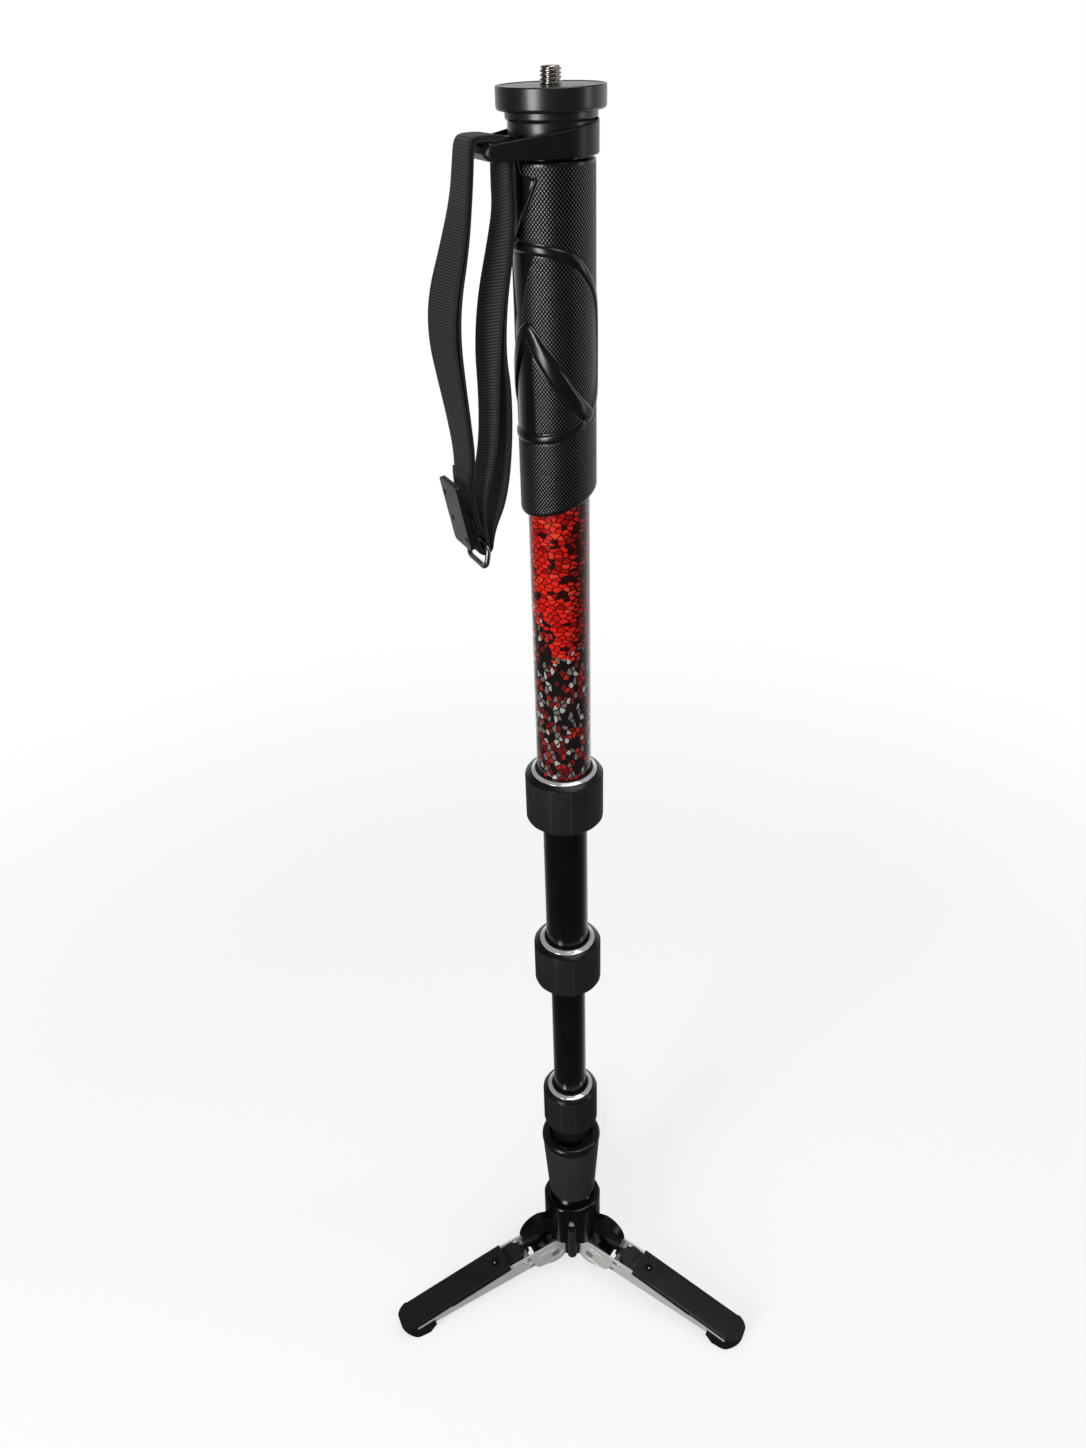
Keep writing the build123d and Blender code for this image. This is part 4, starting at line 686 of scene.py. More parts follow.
def make_head():
    radius, foot, top = sizes("camera_plate")
    lip = radius - PLATE_RIM
    turned_piece("camera_plate_disc", "camera_plate",
                 [(PLATE_BORE, top), (PLATE_BORE, foot), (radius, foot), (radius, top), (lip, top),
                  (lip - PLATE_STEP, top - PLATE_STEP_DEPTH)],
                 [0, 0, PLATE_FOOT_ROUND, PLATE_TOP_ROUND, 0.2, 0.3], 160)
    radius, foot, top = sizes("head_neck")
    top -= NECK_GAP
    flare = top + NECK_GAP - NECK_HEAD
    collar_foot = sizes("strap_collar")[1]
    tube_radius = sizes("tube_1")[0]
    tube_top = sizes("tube_1")[2]
    plug = tube_radius - TUBE_WALL
    turned_piece("neck_turned", "head_neck",
                 [(0, foot), (plug, foot), (plug, tube_top), (tube_radius, tube_top),
                  (tube_radius, collar_foot), (COLLAR_BORE, collar_foot), (COLLAR_BORE, flare - NECK_TAPER),
                  (radius, flare), (radius, top), (0, top)],
                 [0, 0, 0, 0, 0, 0, 1.2, 0.9, 0.3, 0], 128)
    make_collar()


# The collar with its lug, drawn with the lug along +X
COLLAR_RADIUS = 21.2
COLLAR_BORE = 19.6
COLLAR_EDGE = 0.7
COLLAR_SLOPE = math.tan(math.radians(7.5))
LUG_REACH = 38.3
LUG_CHIN = 2.8
LUG_BROW = 1.8
LUG_PROW = 8.0
NOSE_HALF = 12.2
NOSE_ROUND = 4.2
SLOT_HALF = 9.6
SLOT_CORNER = 0.8
SLOT_GAP = 0.1
LUG_BAR_DEPTH = 3.6


def collar_outline():
    """Points of the outer outline with their outward directions, the long way round from the nose."""
    centre_x = LUG_REACH - NOSE_ROUND
    centre_y = NOSE_HALF - NOSE_ROUND
    distance = math.hypot(centre_x, centre_y)
    tangent = math.atan2(centre_y, centre_x) + math.acos((COLLAR_RADIUS - NOSE_ROUND) / distance)
    nose_steps = 12
    side_steps = 12
    ring_steps = 56
    half = []
    for k in range(nose_steps + 1):
        out = (math.cos(tangent * k / nose_steps), math.sin(tangent * k / nose_steps))
        half.append((centre_x + NOSE_ROUND * out[0], centre_y + NOSE_ROUND * out[1], *out))
    start = half[-1]
    for k in range(1, side_steps):
        share = k / side_steps
        x = start[0] * (1 - share) + COLLAR_RADIUS * out[0] * share
        y = start[1] * (1 - share) + COLLAR_RADIUS * out[1] * share
        half.append((x, y, *out))
    for k in range(ring_steps + 1):
        angle = tangent + (math.pi - tangent) * k / ring_steps
        out = (math.cos(angle), math.sin(angle))
        half.append((COLLAR_RADIUS * out[0], COLLAR_RADIUS * out[1], *out))
    return half + [(x, -y, nx, -ny) for x, y, nx, ny in reversed(half[:-1])]


def make_collar():
    """A prism on the outline, with rounded edges, a sloping top, a leaning nose, a bore and a slot."""
    bottom, top = sizes("strap_collar")[1:]
    outer = collar_outline()
    count = len(outer)

    def roof(x):
        return top - COLLAR_SLOPE * (x + COLLAR_RADIUS)

    # Inset, lift and share of the height, for each level from the bottom to the top
    edge = [(COLLAR_EDGE * (1 - math.sin(turn)), COLLAR_EDGE * (1 - math.cos(turn)))
            for turn in (math.pi / 2 * k / 4 for k in range(5))]
    levels = [(inset, lift, 0.0) for inset, lift in edge]
    levels += [(0.0, 0.0, share) for share in (0.25, 0.5, 0.75)]
    levels += [(inset, -lift, 1.0) for inset, lift in reversed(edge)]
    points = []
    for inset, lift, share in levels:
        for x, y, nx, ny in outer:
            z = bottom + share * (roof(x) - bottom) + lift
            tall = (z - bottom) / (roof(LUG_REACH) - bottom)
            prow = max(0.0, (x - LUG_REACH) / LUG_PROW + 1) ** 2
            pull = LUG_CHIN * max(0.0, 1 - tall * 1.9) ** 1.4 + LUG_BROW * max(0.0, (tall - 0.5) * 2) ** 1.6
            points.append(Vector((x - nx * inset - prow * pull, y - ny * inset, z)) * MM)
    faces = ring_faces(len(levels) - 1, count)
    near = COLLAR_RADIUS + SLOT_GAP
    far = LUG_REACH - LUG_BAR_DEPTH
    holes = [[(COLLAR_BORE * math.cos(2 * math.pi * k / 128), COLLAR_BORE * math.sin(2 * math.pi * k / 128))
              for k in range(128)],
             [(near, -SLOT_HALF), (far - SLOT_CORNER, -SLOT_HALF), (far, -SLOT_HALF + SLOT_CORNER),
              (far, SLOT_HALF - SLOT_CORNER), (far - SLOT_CORNER, SLOT_HALF), (near, SLOT_HALF)]]
    walls = len(points)
    for first in (0, walls - count):
        ids = list(range(first, first + count))
        # The upper face goes by the points listed last, those of the holes too, and so it stays partly open
        ring = points[-count:] if first else points[:count]
        flat = [[Vector((point.x, point.y, 0)) for point in ring]]
        for hole in holes:
            ids += range(len(points), len(points) + len(hole))
            points += [Vector((x, y, roof(x) if first else bottom)) * MM for x, y in hole]
            flat.append([Vector((x, y, 0)) * MM for x, y in hole])
        faces += [(ids[a], ids[b], ids[c]) for a, b, c in mathutils.geometry.tessellate_polygon(flat)]
    rim = sum(len(hole) for hole in holes)
    for hole in holes:
        for i in range(len(hole)):
            after = (i + 1) % len(hole)
            faces.append((walls + i, walls + after, walls + rim + after, walls + rim + i))
        walls += len(hole)
    mesh = mesh_from("collar_moulding", points, faces)
    mesh.transform(to_azimuth(LUG_AZIMUTH))
    tidy_mesh(mesh)
    add_piece("collar_moulding", mesh, "collar_plastic", "section_1", ("strap_collar",), math.radians(40))


# Grip
GRIP_BANDS = [
    # Middle line as (azimuth, z in mm), half width in mm, height in mm
    ([(-152, 776), (-105, 776), (-60, 775.8), (-30, 775.6), (0, 774.4), (20, 772.2), (38, 768.4),
      (55, 762.4), (70, 756.0), (82, 748), (89, 738), (91, 726), (88, 714), (80, 706.5), (66, 700.5),
      (48, 696.2), (28, 692.3), (6, 689.6), (-18, 688.0), (-60, 687.5), (-105, 687.5), (-150, 688)],
     2.1, 0.75),
    ([(55, 698.5), (40, 702.4), (22, 709.4), (5, 717.4), (-10, 724.6), (-24, 731.5), (-36, 737.2),
      (-44, 738.6), (-54, 735.0), (-66, 728.0), (-84, 716.0), (-104, 703.0), (-122, 694.0)], 3.9, 0.95),
    ([(-19.1, 804.1), (-24, 800.6), (-31, 795.2), (-42, 787.6), (-55, 780.2)], 0.75, 0.8),
    ([(-152, 776), (-163, 770), (-170, 758), (-172, 742), (-171, 724), (-168, 708), (-160, 694),
      (-150, 688)], 2.1, 0.75),
]
# The smooth panel that faces the strap: z in mm, and the azimuths where its bevel starts and ends
GRIP_PANEL = [
    (600, -60, -61), (689.9, -60, -61), (690, -29.6, -31), (728, -32, -33.5), (738, -36, -37.5),
    (744.9, -49, -50.5), (751, -45.5, -47), (757.9, -40.7, -42.2), (764.7, -34.7, -36.2),
    (770.5, -27.9, -29.4), (775, -27, -28.5), (775.1, -58.5, -60), (779.7, -56, -57.5),
    (786.6, -48.5, -50), (793.6, -38, -39.5), (800.4, -26.5, -28), (804.1, -19, -20.5),
    (804.8, -26, -27.5), (806.0, -42, -43.5), (812, -48, -49.5)]
GRIP_PANEL_DEPTH = 0.5
BAND_BLEND = 0.6
# Length of one degree round the grip
GRIP_ARC = GRIP_RADIUS / MM * math.radians(1)
GRIP_SIDES = 360
GRIP_ROWS = 330
GRIP_SKIN = 19.75
GRIP_BORE = 16.15
GRIP_END_SLOPE = math.tan(math.radians(17.2))
GRIP_LIP = 2.2
BAND_GROOVE = 0.55
BAND_GROOVE_DEPTH = 0.22
# How far from an edge the knurl begins, and how wide it fades in
KNURL_GAP = 0.3
KNURL_FADE = 0.8
KNURL_FOOT_GAP = 2.0
KNURL_TOP_GAP = 1.6


def band_profile(gap, half_width, rise):
    """A rounded raised band with a fine groove along each edge."""
    share = gap / half_width
    ridge = rise * (1 - np.minimum(share, 1.0) ** 4)
    groove = (gap - half_width) / BAND_GROOVE
    return np.where(share < 1, ridge, -BAND_GROOVE_DEPTH * np.exp(-((groove - 0.7) ** 2) * 3.0))


def distance_to_line(azimuth, z, line):
    """The least distance in mm from each grid point to a line on the grip, the short way round."""
    best = np.full(azimuth.shape, 1e9)
    for (a0, z0), (a1, z1) in zip(line, line[1:]):
        x = ((azimuth - a0 + 180) % 360 - 180) * GRIP_ARC
        y = z - z0
        dx = (a1 - a0) * GRIP_ARC
        dy = z1 - z0
        t = np.clip((x * dx + y * dy) / (dx * dx + dy * dy), 0, 1)
        best = np.minimum(best, np.hypot(x - t * dx, y - t * dy))
    return best


def smooth_line(line, steps=5):
    """More points along a smooth curve through the given ones."""
    points = []
    for i in range(len(line) - 1):
        p0 = line[max(0, i - 1)]
        p1 = line[i]
        p2 = line[i + 1]
        p3 = line[min(len(line) - 1, i + 2)]
        for k in range(steps):
            t = k / steps
            points.append(tuple(
                b + 0.5 * t * (c - a + t * (2 * a - 5 * b + 4 * c - d + t * (3 * b - a - 3 * c + d)))
                for a, b, c, d in zip(p0, p1, p2, p3)))
    points.append(line[-1])
    return points


def grip_relief(azimuth, z):
    """The height of the bands and the panel over the grip's skin in mm, and where it is knurled."""
    level = [row[0] for row in GRIP_PANEL]
    start = np.interp(z, level, [row[1] for row in GRIP_PANEL])
    end = np.interp(z, level, [row[2] for row in GRIP_PANEL])
    folded = LUG_AZIMUTH + np.abs((azimuth - LUG_AZIMUTH + 180) % 360 - 180)
    panel = np.clip((start - folded) / (start - end), 0, 1)
    relief = -GRIP_PANEL_DEPTH * panel
    knurl = 1 - np.clip(panel * 6, 0, 1)
    for line, half_width, rise in GRIP_BANDS:
        gap = distance_to_line(azimuth, z, smooth_line(line))
        band = band_profile(gap, half_width, rise)
        blend = np.clip((gap - half_width) / BAND_BLEND + 1, 0, 1)
        raised = np.maximum(band + relief * blend * 0.5, relief)
        relief = np.where(gap < half_width, raised, relief + band)
        knurl = np.minimum(knurl, np.clip((gap - half_width - KNURL_GAP) / KNURL_FADE, 0, 1))
    return relief, knurl


def make_grip():
    radius, lowest, top = sizes("grip")
    end_z = lowest + GRIP_END_SLOPE * radius
    angles = np.arange(GRIP_SIDES) * 360 / GRIP_SIDES - 180
    toward = np.cos(np.radians(angles - LUG_AZIMUTH))
    foot = end_z - GRIP_END_SLOPE * radius * toward
    share = np.linspace(0, 1, GRIP_ROWS + 1)
    share = share + 0.01 * np.sin(2 * math.pi * share)
    azimuth = np.repeat(angles[:, None], GRIP_ROWS + 1, 1)
    z = foot[:, None] + (top - foot)[:, None] * share[None, :]
    relief, knurl = grip_relief(azimuth, z)

    def lip(depth):
        """The radius lost near the ends, where the rubber is rounded."""
        return GRIP_LIP * (1 - np.sqrt(1 - (1 - np.minimum(depth, GRIP_LIP) / GRIP_LIP) ** 2))

    knurl = knurl * np.clip(z - foot[:, None] - KNURL_FOOT_GAP, 0, 1)
    knurl = knurl * np.clip((top - z - KNURL_TOP_GAP) / KNURL_FADE, 0, 1)
    skin = GRIP_SKIN + relief - lip(z - foot[:, None]) - lip((top - z) * 1.8)
    sine = np.sin(np.radians(azimuth))
    cosine = np.cos(np.radians(azimuth))
    points = np.stack([sine * skin, -cosine * skin, z], -1).reshape(-1, 3) * MM
    bore_foot = end_z - GRIP_END_SLOPE * GRIP_BORE * toward
    bore = np.stack([np.sin(np.radians(angles)) * GRIP_BORE, -np.cos(np.radians(angles)) * GRIP_BORE], -1)
    bore_low = np.concatenate([bore, bore_foot[:, None]], 1) * MM
    bore_high = np.concatenate([bore, np.full((GRIP_SIDES, 1), top)], 1) * MM
    rows = GRIP_ROWS + 1
    faces = []
    start = len(points)
    for s in range(GRIP_SIDES):
        after = (s + 1) % GRIP_SIDES
        for k in range(GRIP_ROWS):
            faces.append((s * rows + k, after * rows + k, after * rows + k + 1, s * rows + k + 1))
        a, b = start + s, start + after
        c, d = a + GRIP_SIDES, b + GRIP_SIDES
        faces.append((s * rows, a, b, after * rows))
        faces.append((s * rows + GRIP_ROWS, after * rows + GRIP_ROWS, d, c))
        faces.append((a, c, d, b))
    mesh = mesh_from("grip_sleeve", np.concatenate([points, bore_low, bore_high]).tolist(), faces)
    values = np.concatenate([knurl.reshape(-1), np.zeros(2 * GRIP_SIDES)])
    mesh.attributes.new("knurl", "FLOAT", "POINT").data.foreach_set("value", values)
    tidy_mesh(mesh)
    add_piece("grip_sleeve", mesh, "grip_rubber", "section_1", ("grip",), SOFT_ANGLE)


# Column
TUBE_EDGE = 0.3
SLEEVE_THICKNESS = 2.2
SLEEVE_FLAT = 0.18
SLEEVE_EDGE = 1.2
SLEEVE_EDGE_FADE = 0.8
LOCK_LIP_INSET = 2.9
LOCK_BORE_PLAY = 0.4
LOCK_FLOOR = 3.0
RING_PLAY = 0.05
RING_SLOPE = 1.2
LOWEST_FOOT_RADIUS = 14.0
LOWEST_FOOT_DROP = 1.3
BOOT_FOOT_RADIUS = 17.5
BOOT_RECESS = 2.4
RIM_BORE = 15.5


def make_tubes():
    for i in range(1, 5):
        node = f"tube_{i}"
        radius, foot, top = sizes(node)
        inner = radius - TUBE_WALL
        turned_piece(node + "_drawn", node, [(inner, foot), (radius, foot), (radius, top), (inner, top)],
                     [TUBE_EDGE] * 4, steps=3)


def make_locks():
    """Each lock's soft sleeve, hard nut and bright ring."""
    for i in (1, 2, 3):
        radius, sleeve_low, sleeve_high = sizes(f"lock_{i}_sleeve")
        ring_radius, ring_low, ring_top = sizes(f"lock_{i}_ring")
        foot = sizes(f"lock_{i}_body")[1]
        bore = sizes(f"tube_{i + 1}")[0] + LOCK_BORE_PLAY
        inner = sizes(f"lock_{i}_collet")[0] + RING_PLAY
        core = radius - SLEEVE_THICKNESS
        lip = radius - LOCK_LIP_INSET

        def flats(angle, r, z):
            """Shallow flats round the sleeve, which end before its edges."""
            depth = r / MM - radius + SLEEVE_EDGE
            if depth < 0:
                return r
            part = ((angle - LOCK_CREASE) / (2 * math.pi) * LOCK_FLATS) % 1.0 - 0.5
            return r - SLEEVE_FLAT * MM * (1 - (2 * part) ** 2) * min(1.0, depth / SLEEVE_EDGE_FADE)

        turned_piece(f"lock_{i}_sleeve_rubber", f"lock_{i}_sleeve",
                     [(core, sleeve_low), (radius, sleeve_low), (radius, sleeve_high), (core, sleeve_high)],
                     [0.2, 1.1, 0.7, 0.2], 180, flats)
        if i == 3:
            floor = sleeve_low
            bottom = [(bore, foot), (LOWEST_FOOT_RADIUS, foot), (lip, sleeve_low - LOWEST_FOOT_DROP),
                      (lip, sleeve_low)]
            bottom_rounds = [0.3, 1.2, 1.0, 0]
        else:
            floor = foot + LOCK_FLOOR
            bottom = [(bore, foot), (lip, foot), (lip, sleeve_low)]
            bottom_rounds = [0.3, 1.6, 0]
        turned_piece(f"lock_{i}_nut", f"lock_{i}_body",
                     bottom + [(core, sleeve_low), (core, sleeve_high), (radius, sleeve_high),
                               (ring_radius, ring_top - RING_SLOPE), (ring_radius, ring_low),
                               (inner, ring_low), (inner, floor), (bore, floor)],
                     bottom_rounds + [0, 0, 0.7, 0.3, 0, 0, 0, 0])
        ring_inner = inner + RING_PLAY
        turned_piece(f"lock_{i}_bright_ring", f"lock_{i}_ring",
                     [(ring_inner, ring_low), (ring_radius, ring_low), (ring_radius, ring_top - RING_SLOPE),
                      (ring_inner, ring_top)], [0.1, 0.1, 0.35, 0.35])


def make_boot():
    radius, foot, top = sizes("boot")
    spigot = sizes("base_spigot")[0]
    spigot_top = sizes("base_spigot")[2]
    tube = sizes("tube_4")[0]
    turned_piece("boot_cone", "boot",
                 [(spigot, foot), (BOOT_FOOT_RADIUS, foot), (radius, top), (RIM_BORE, top),
                  (RIM_BORE, top - BOOT_RECESS), (tube, top - BOOT_RECESS), (tube, spigot_top),
                  (spigot, spigot_top)],
                 [0.3, 0.9, 0.4, 0.2, 0, 0, 0, 0])
    radius, foot, top = sizes("boot_ring")
    turned_piece("boot_rim", "boot_ring",
                 [(RIM_BORE, foot), (radius, foot), (radius, top), (RIM_BORE, top)], [0.6, 2.9, 3.0, 1.2])


# Strap.  It runs up the outer strand, over the lug's bar, down the inner strand, round the ring and up.
# Each row: distance from the column axis and height in mm, the twist of the outer and of the inner
# layer in degrees, and half the gap between them in mm.
STRAP_ROUTE = [
    (49.0, 644.7, 0, 0, 0), (51.4, 657.5, 0, 0, 0), (52.8, 668.5, 1, 1, 0), (51.4, 683.0, 7, 7, 0),
    (53.2, 701.0, 11, 11, 0), (55.6, 720.0, 16, 15, 0.35), (57.7, 739.0, 21, 20, 0.7),
    (56.3, 757.0, 23, 22, 0.5), (50.0, 778.0, 15, 15, 0.1), (45.6, 797.0, 4, 4, 0),
    (43.7, 811.0, 2, 2, 0), (42.9, 818.4, 1, 1, 0),
    (41.6, 821.4, 0, 0, 0), (38.6, 821.8, 0, 0, 0), (31.0, 821.7, 0, 0, 0), (24.8, 820.1, -2, -2, 0),
    (25.2, 804.0, -4, -4, 0), (24.9, 791.0, -5, -5, 0), (27.8, 775.0, -12, -12, 0),
    (32.8, 753.0, -18, -18, 0.1), (34.9, 731.0, -17, -17, 0.7),
    (34.0, 714.0, -15, -10, 2.1), (34.3, 698.0, -13, -7, 2.5), (35.4, 684.0, -10, -5, 3.0),
    (37.8, 670.0, -7, -2, 4.0), (40.6, 658.0, -3, 0, 4.4), (42.9, 648.0, 0, 0, 2.4),
    (43.4, 640.0, 0, 0, 0.5), (43.7, 633.9, 0, 0, 0), (48.8, 632.9, 0, 0, 0), (51.4, 640.6, 0, 0, 0),
    (53.8, 652.5, 0, 0, 0)]
WEB_THICKNESS = 1.3
WEB_GAP = 0.06
WEB_WIDTH = 18.0
WEB_ACROSS = 13
TAB_FROM_Z = 661.0
TAB_TO_Z = 676.0
TAB_THICKNESS = 0.7
TAB_OVERLAP = 0.3
STITCH_RADIUS = 0.28
STITCH_MARGIN = 1.0
STITCHES = 8


def smooth_rows(rows, steps=10):
    """A smooth run that rounds every corner of the rows, as a tuple of numbers for each point."""
    rows = [np.array(row, float) for row in rows]
    last = len(rows) - 1
    points = []
    for i in range(1, last):
        start = rows[0] if i == 1 else (rows[i - 1] + rows[i]) / 2
        end = rows[last] if i == last - 1 else (rows[i] + rows[i + 1]) / 2
        for k in range(steps):
            t = k / steps
            points.append((1 - t) ** 2 * start + 2 * t * (1 - t) * rows[i] + t * t * end)
    points.append(rows[last])
    return points


class Ribbon:
    """The strap's route, and what is laid on it at a depth from its middle."""

    def __init__(self, rows):
        self.rows = smooth_rows(rows)
        self.lengths = [0.0]
        for before, after in zip(self.rows, self.rows[1:]):
            self.lengths.append(self.lengths[-1] + math.hypot(*(after - before)[:2]))

    def place(self, i, layer, depth, side):
        """A point of a layer, -1 or 1, at a depth from its middle and a place across the strap."""
        here = self.rows[i]
        run = self.rows[min(i + 1, len(self.rows) - 1)] - self.rows[max(i - 1, 0)]
        run = run[:2] / math.hypot(*run[:2])
        normal = Vector((-run[1], 0, run[0]))
        twist = math.radians(here[2] if layer < 0 else here[3])
        breadth = Vector((0, math.cos(twist), 0)) + normal * math.sin(twist)
        square = normal * math.cos(twist) - Vector((0, math.sin(twist), 0))
        middle = layer * ((WEB_GAP + WEB_THICKNESS) / 2 + here[4])
        return Vector((here[0], 0, here[1])) + normal * middle + square * depth + breadth * side


def web_mesh(name, ribbon, layer, first, last, low, high, width, coarse):
    """A flat band between two depths, with thinner edges and a weave map."""
    points = []
    uvs = []
    half = (high - low) / 2
    centre = (high + low) / 2
    for i in range(first, last + 1):
        for face in (1, -1):
            for j in range(WEB_ACROSS):
                u = face * (-1 + 2 * j / (WEB_ACROSS - 1))
                edge = 1 - 0.45 * max(0.0, abs(u) - 0.88) / 0.12
                points.append(ribbon.place(i, layer, centre + face * half * edge, u * width / 2) * MM)
                uvs.append(((u + 1) / 2, ribbon.lengths[i] * MM))
    loop = 2 * WEB_ACROSS
    faces = ring_faces(last - first, loop)
    faces.append(tuple(reversed(range(loop))))
    faces.append(tuple(range(len(points) - loop, len(points))))
    mesh = mesh_from(name, points, faces)
    mesh.attributes.new("coarse", "FLOAT", "POINT").data.foreach_set("value", [coarse] * len(points))
    for spot, corner in zip(mesh.uv_layers.new(name="weave").data, mesh.loops):
        spot.uv = uvs[corner.vertex_index]
    mesh.transform(to_azimuth(LUG_AZIMUTH))
    tidy_mesh(mesh, merge=False)
    return mesh


def add_web(mesh, replaces=()):
    add_piece(mesh.name, mesh, "webbing", "section_1", replaces, SOFT_ANGLE)


def make_strap():
    ribbon = Ribbon(STRAP_ROUTE)
    last = len(ribbon.rows) - 1
    half = WEB_THICKNESS / 2
    for side, layer, coarse in (("outer", -1, 0.0), ("inner", 1, 1.0)):
        mesh = web_mesh(f"strap_{side}_web", ribbon, layer, 0, last, -half, half, WEB_WIDTH, coarse)
        add_web(mesh, (f"strap_{side}_layer",))
    rising = [i for i in range(last // 2) if TAB_FROM_Z < ribbon.rows[i][1] < TAB_TO_Z]
    add_web(web_mesh("strap_stitched_tab", ribbon, -1, rising[0], rising[-1], -half - TAB_THICKNESS, -half,
                     WEB_WIDTH + TAB_OVERLAP, 2.0))
    stitches = bmesh.new()
    for row in (rising[-1] - 1, rising[-1] - 4):
        for k in range(STITCHES):
            side = (-0.5 + (k + 0.5) / STITCHES) * (WEB_WIDTH - 2 * STITCH_MARGIN)
            spot = ribbon.place(row, -1, -half - TAB_THICKNESS, side) * MM
            bead = bmesh.ops.create_icosphere(stitches, subdivisions=1, radius=STITCH_RADIUS * MM)
            stretch = Matrix.Diagonal((0.8, 3.2, 1, 1))
            bmesh.ops.transform(stitches, matrix=Matrix.Translation(spot) @ stretch, verts=bead["verts"])
    mesh = mesh_of(stitches, "strap_stitches")
    mesh.transform(to_azimuth(LUG_AZIMUTH))
    add_web(mesh)
    softened("buckle_plate", 0.7, 3)
    softened("buckle_ring", 0.05, 1)


# Base and legs
SCREW_TIP_RADIUS = 0.75
SCREW_TIP_LEAN = 0.5
SCREW_TIP_SINK = 0.7


def make_screw_tip(i):
    """The bright bottom of the socket in a cover's screw."""
    low, high = (Vector(corner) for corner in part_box(f"leg_{i}_screw"))
    work = bmesh.new()
    bmesh.ops.create_uvsphere(work, u_segments=20, v_segments=10, radius=SCREW_TIP_RADIUS * MM)
    top = Vector(((low.x + high.x) / 2, (low.y + high.y) / 2, high.z))
    out = Vector((top.x, top.y, 0)).normalized()
    spot = top + out * SCREW_TIP_LEAN * MM - Vector((0, 0, SCREW_TIP_SINK * MM))
    squash = Matrix.Translation(spot) @ Matrix.Diagonal((1, 1, 0.5, 1))
    bmesh.ops.transform(work, matrix=squash, verts=work.verts)
    name = f"leg_{i}_screw_tip"
    add_piece(name, mesh_of(work, name), "screw_steel", body_of(f"leg_{i}_screw"), (), SOFT_ANGLE)


def make_base():
    softened("hub", 0.55, 3)
    for i in (1, 2, 3):
        softened(f"leg_{i}_channel", 0.3, 2)
        softened(f"leg_{i}_cover", 0.45, 3)
        softened(f"leg_{i}_slider", 0.45, 2)
        softened(f"leg_{i}_foot", 0.7, 3)
        make_screw_tip(i)


def dress_parts():
    """Give every carried-over part its own finish."""
    for node, piece in frame["nodes"].items():
        if not piece.hide_render:
            slot = slot_of(node)
            for place in piece.material_slots:
                place.material = MATERIALS[slot]


# Floor and light, in metres
FLOOR_RADIUS = 3.0
FLOOR_DROP = 0.0002
FLOOR_FADE_FROM = 0.42
FLOOR_FADE_TO = 1.15
FLOOR_GLOW = 0.66
SKY_DIFFUSE = 0.30
# Brightness that shiny surfaces see, from 0 in front of the object to 1 behind it.  The bright
# middle is turned a little to the right, and so the left edges of the tubes stay dark.
BRIGHT_HEADING = math.radians(10)
FLOOR_SHARES = [(0.0, 0.05), (0.42, 0.05), (0.66, 0.08), (0.84, 0.22), (0.93, 0.50), (1.0, 0.85)]
SKY_SHARES = [(0.0, 0.02), (0.3, 0.02), (0.5, 0.06), (0.7, 0.30), (0.88, 0.80), (1.0, 0.9)]
# How much of that is left at a steep upward direction, and where it begins and ends to fade
SKY_OVERHEAD = 0.2
SKY_FADE_FROM = 0.16
SKY_FADE_TO = 0.5


def behind_share(nodes, vector, stops):
    """How bright the studio is towards a direction, from the front to the back of the object."""
    flat = nodes.add("ShaderNodeVectorMath", operation="MULTIPLY")
    nodes.feed(flat, {0: vector, 1: (1, 1, 0)})
    unit = nodes.add("ShaderNodeVectorMath", operation="NORMALIZE")
    nodes.feed(unit, {0: flat.outputs[0]})
    facing = nodes.add("ShaderNodeVectorMath", operation="DOT_PRODUCT")
    nodes.feed(facing, {0: unit.outputs[0], 1: (math.sin(BRIGHT_HEADING), math.cos(BRIGHT_HEADING), 0)})
    place = nodes.times(nodes.plus(facing.outputs["Value"], 1.0), 0.5)
    return nodes.ramp(place, [(spot, grey(value)) for spot, value in stops])


def ray_kinds(nodes):
    """Whether a ray comes from the camera, and whether it comes off or through a shiny surface."""
    rays = nodes.add("ShaderNodeLightPath").outputs
    return rays["Is Camera Ray"], nodes.math("MAXIMUM", rays["Is Glossy Ray"], rays["Is Transmission Ray"])


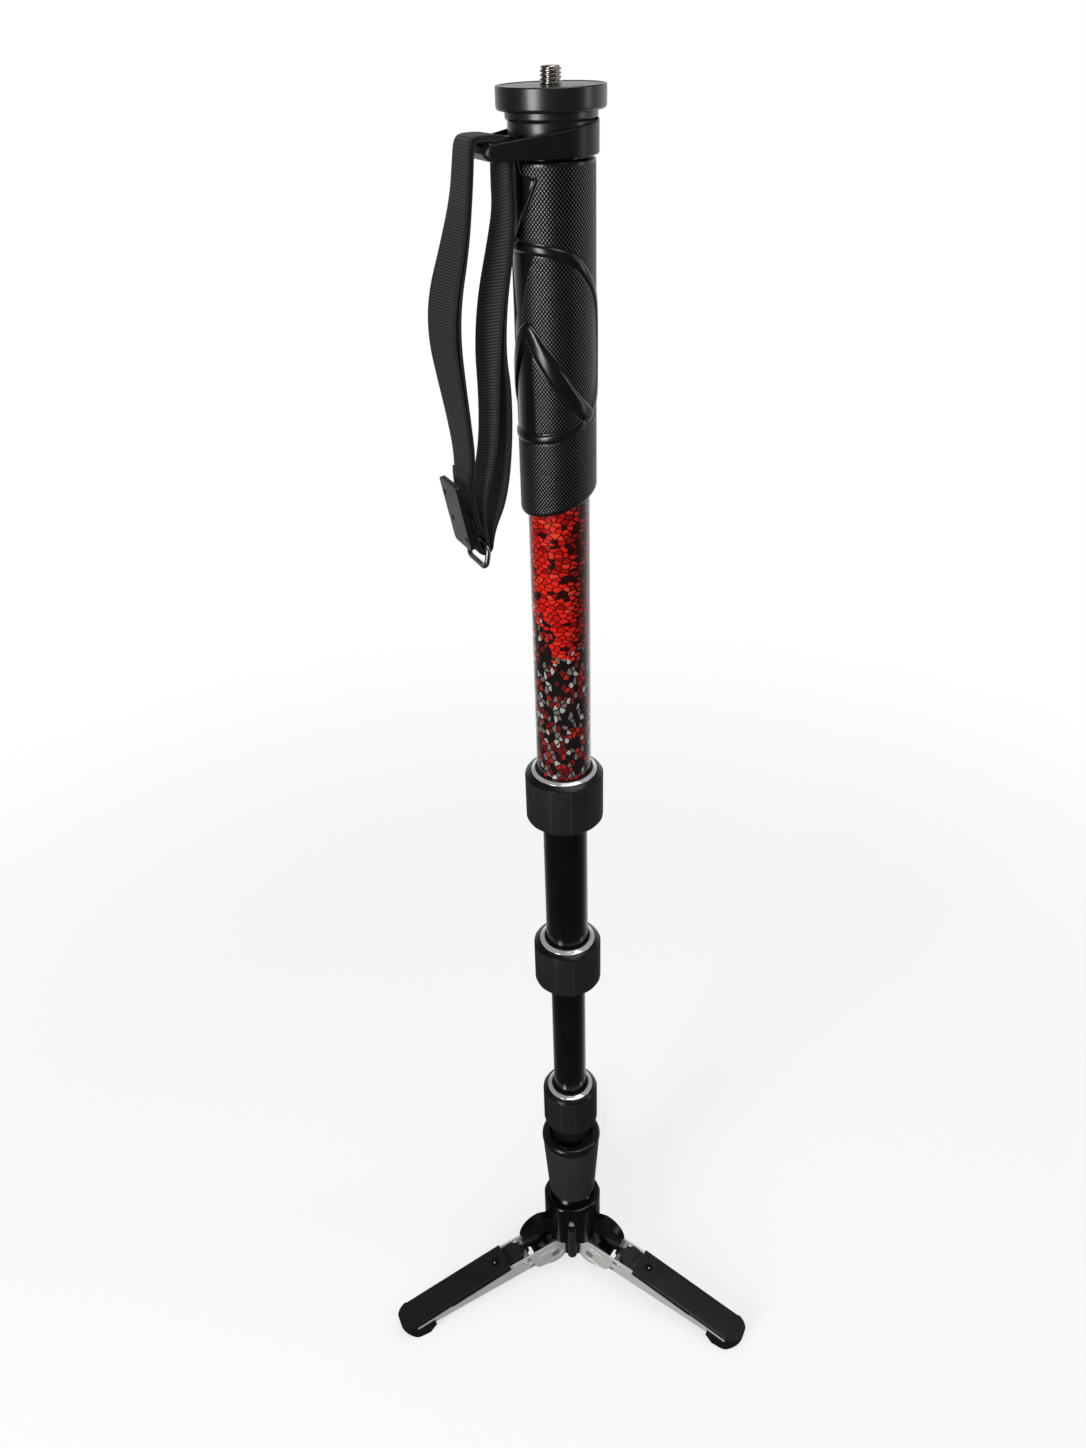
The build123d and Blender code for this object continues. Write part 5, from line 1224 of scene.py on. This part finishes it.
def make_floor():
    work = bmesh.new()
    bmesh.ops.create_circle(work, cap_ends=True, segments=128, radius=FLOOR_RADIUS)
    mesh = mesh_of(work, "floor")
    material, nodes = new_material("floor_paper")
    place = nodes.place()
    length = nodes.add("ShaderNodeVectorMath", operation="LENGTH")
    nodes.feed(length, {0: place})
    fade = nodes.span(length.outputs["Value"], FLOOR_FADE_FROM, FLOOR_FADE_TO, curve="SMOOTHSTEP")
    tone = nodes.ramp(nodes.noise(400.0, 3.0, 0.5, place), [(0.2, grey(0.42)), (0.8, grey(0.44))])
    camera, shiny = ray_kinds(nodes)
    towards = behind_share(nodes, place, FLOOR_SHARES)
    paper = nodes.add("ShaderNodeBsdfDiffuse")
    nodes.feed(paper, {"Color": nodes.mix(shiny, tone, nodes.mix(towards, grey(0), tone))})
    seen = nodes.math("MAXIMUM", camera, nodes.times(shiny, towards))
    glow = nodes.add("ShaderNodeEmission")
    nodes.feed(glow, {"Color": grey(1.0), "Strength": nodes.times(seen, FLOOR_GLOW)})
    lit = nodes.add("ShaderNodeAddShader")
    nodes.feed(lit, {0: paper.outputs[0], 1: glow.outputs[0]})
    clear = nodes.add("ShaderNodeBsdfTransparent")
    shader = nodes.add("ShaderNodeMixShader")
    nodes.feed(shader, {0: fade, 1: lit.outputs[0], 2: clear.outputs[0]})
    output = nodes.add("ShaderNodeOutputMaterial")
    nodes.link(shader.outputs[0], output.inputs[0])
    mesh.materials.append(material)
    floor = bpy.data.objects.new("floor", mesh)
    floor.location.z = -FLOOR_DROP
    bpy.context.collection.objects.link(floor)


def make_world():
    world = bpy.data.worlds.new("studio")
    world.use_nodes = True
    bpy.context.scene.world = world
    nodes = Nodes(world.node_tree)
    direction = nodes.place("Generated")
    steep = nodes.split(direction)[2]
    fade = nodes.span(steep, SKY_FADE_FROM, SKY_FADE_TO, 1.0, SKY_OVERHEAD, "SMOOTHSTEP")
    towards = nodes.times(behind_share(nodes, direction, SKY_SHARES), fade)
    camera, shiny = ray_kinds(nodes)
    background = nodes.add("ShaderNodeBackground")
    nodes.feed(background, {"Color": grey(1.0),
                            "Strength": nodes.blend(camera, nodes.blend(shiny, SKY_DIFFUSE, towards), 1.0)})
    output = nodes.add("ShaderNodeOutputWorld")
    nodes.link(background.outputs[0], output.inputs[0])


def soft_box(name, azimuth, distance, height, target_z, size, brightness):
    """A soft box of a given brightness, which looks at the column."""
    data = bpy.data.lights.new(name, "AREA")
    data.shape = "RECTANGLE"
    data.size, data.size_y = size
    data.energy = brightness * math.pi * size[0] * size[1]
    lamp = bpy.data.objects.new(name, data)
    place = azimuth_direction(azimuth) * distance + Vector((0, 0, height))
    lamp.location = place
    lamp.rotation_euler = (place - Vector((0, 0, target_z))).to_track_quat("Z", "Y").to_euler()
    bpy.context.collection.objects.link(lamp)


def make_lights():
    soft_box("key", -35, 1.6, 0.78, 0.55, (0.52, 1.25), 7.5)
    soft_box("side", 84, 1.5, 0.80, 0.50, (0.30, 1.20), 1.8)
    soft_box("top", 60, 0.5, 2.10, 0.20, (1.20, 1.20), 2.0)


make_camera()
make_stud()
make_head()
make_grip()
make_tubes()
make_locks()
make_boot()
make_strap()
make_base()
dress_parts()
make_floor()
make_world()
make_lights()

scene = bpy.context.scene
scene.view_settings.view_transform = "Standard"
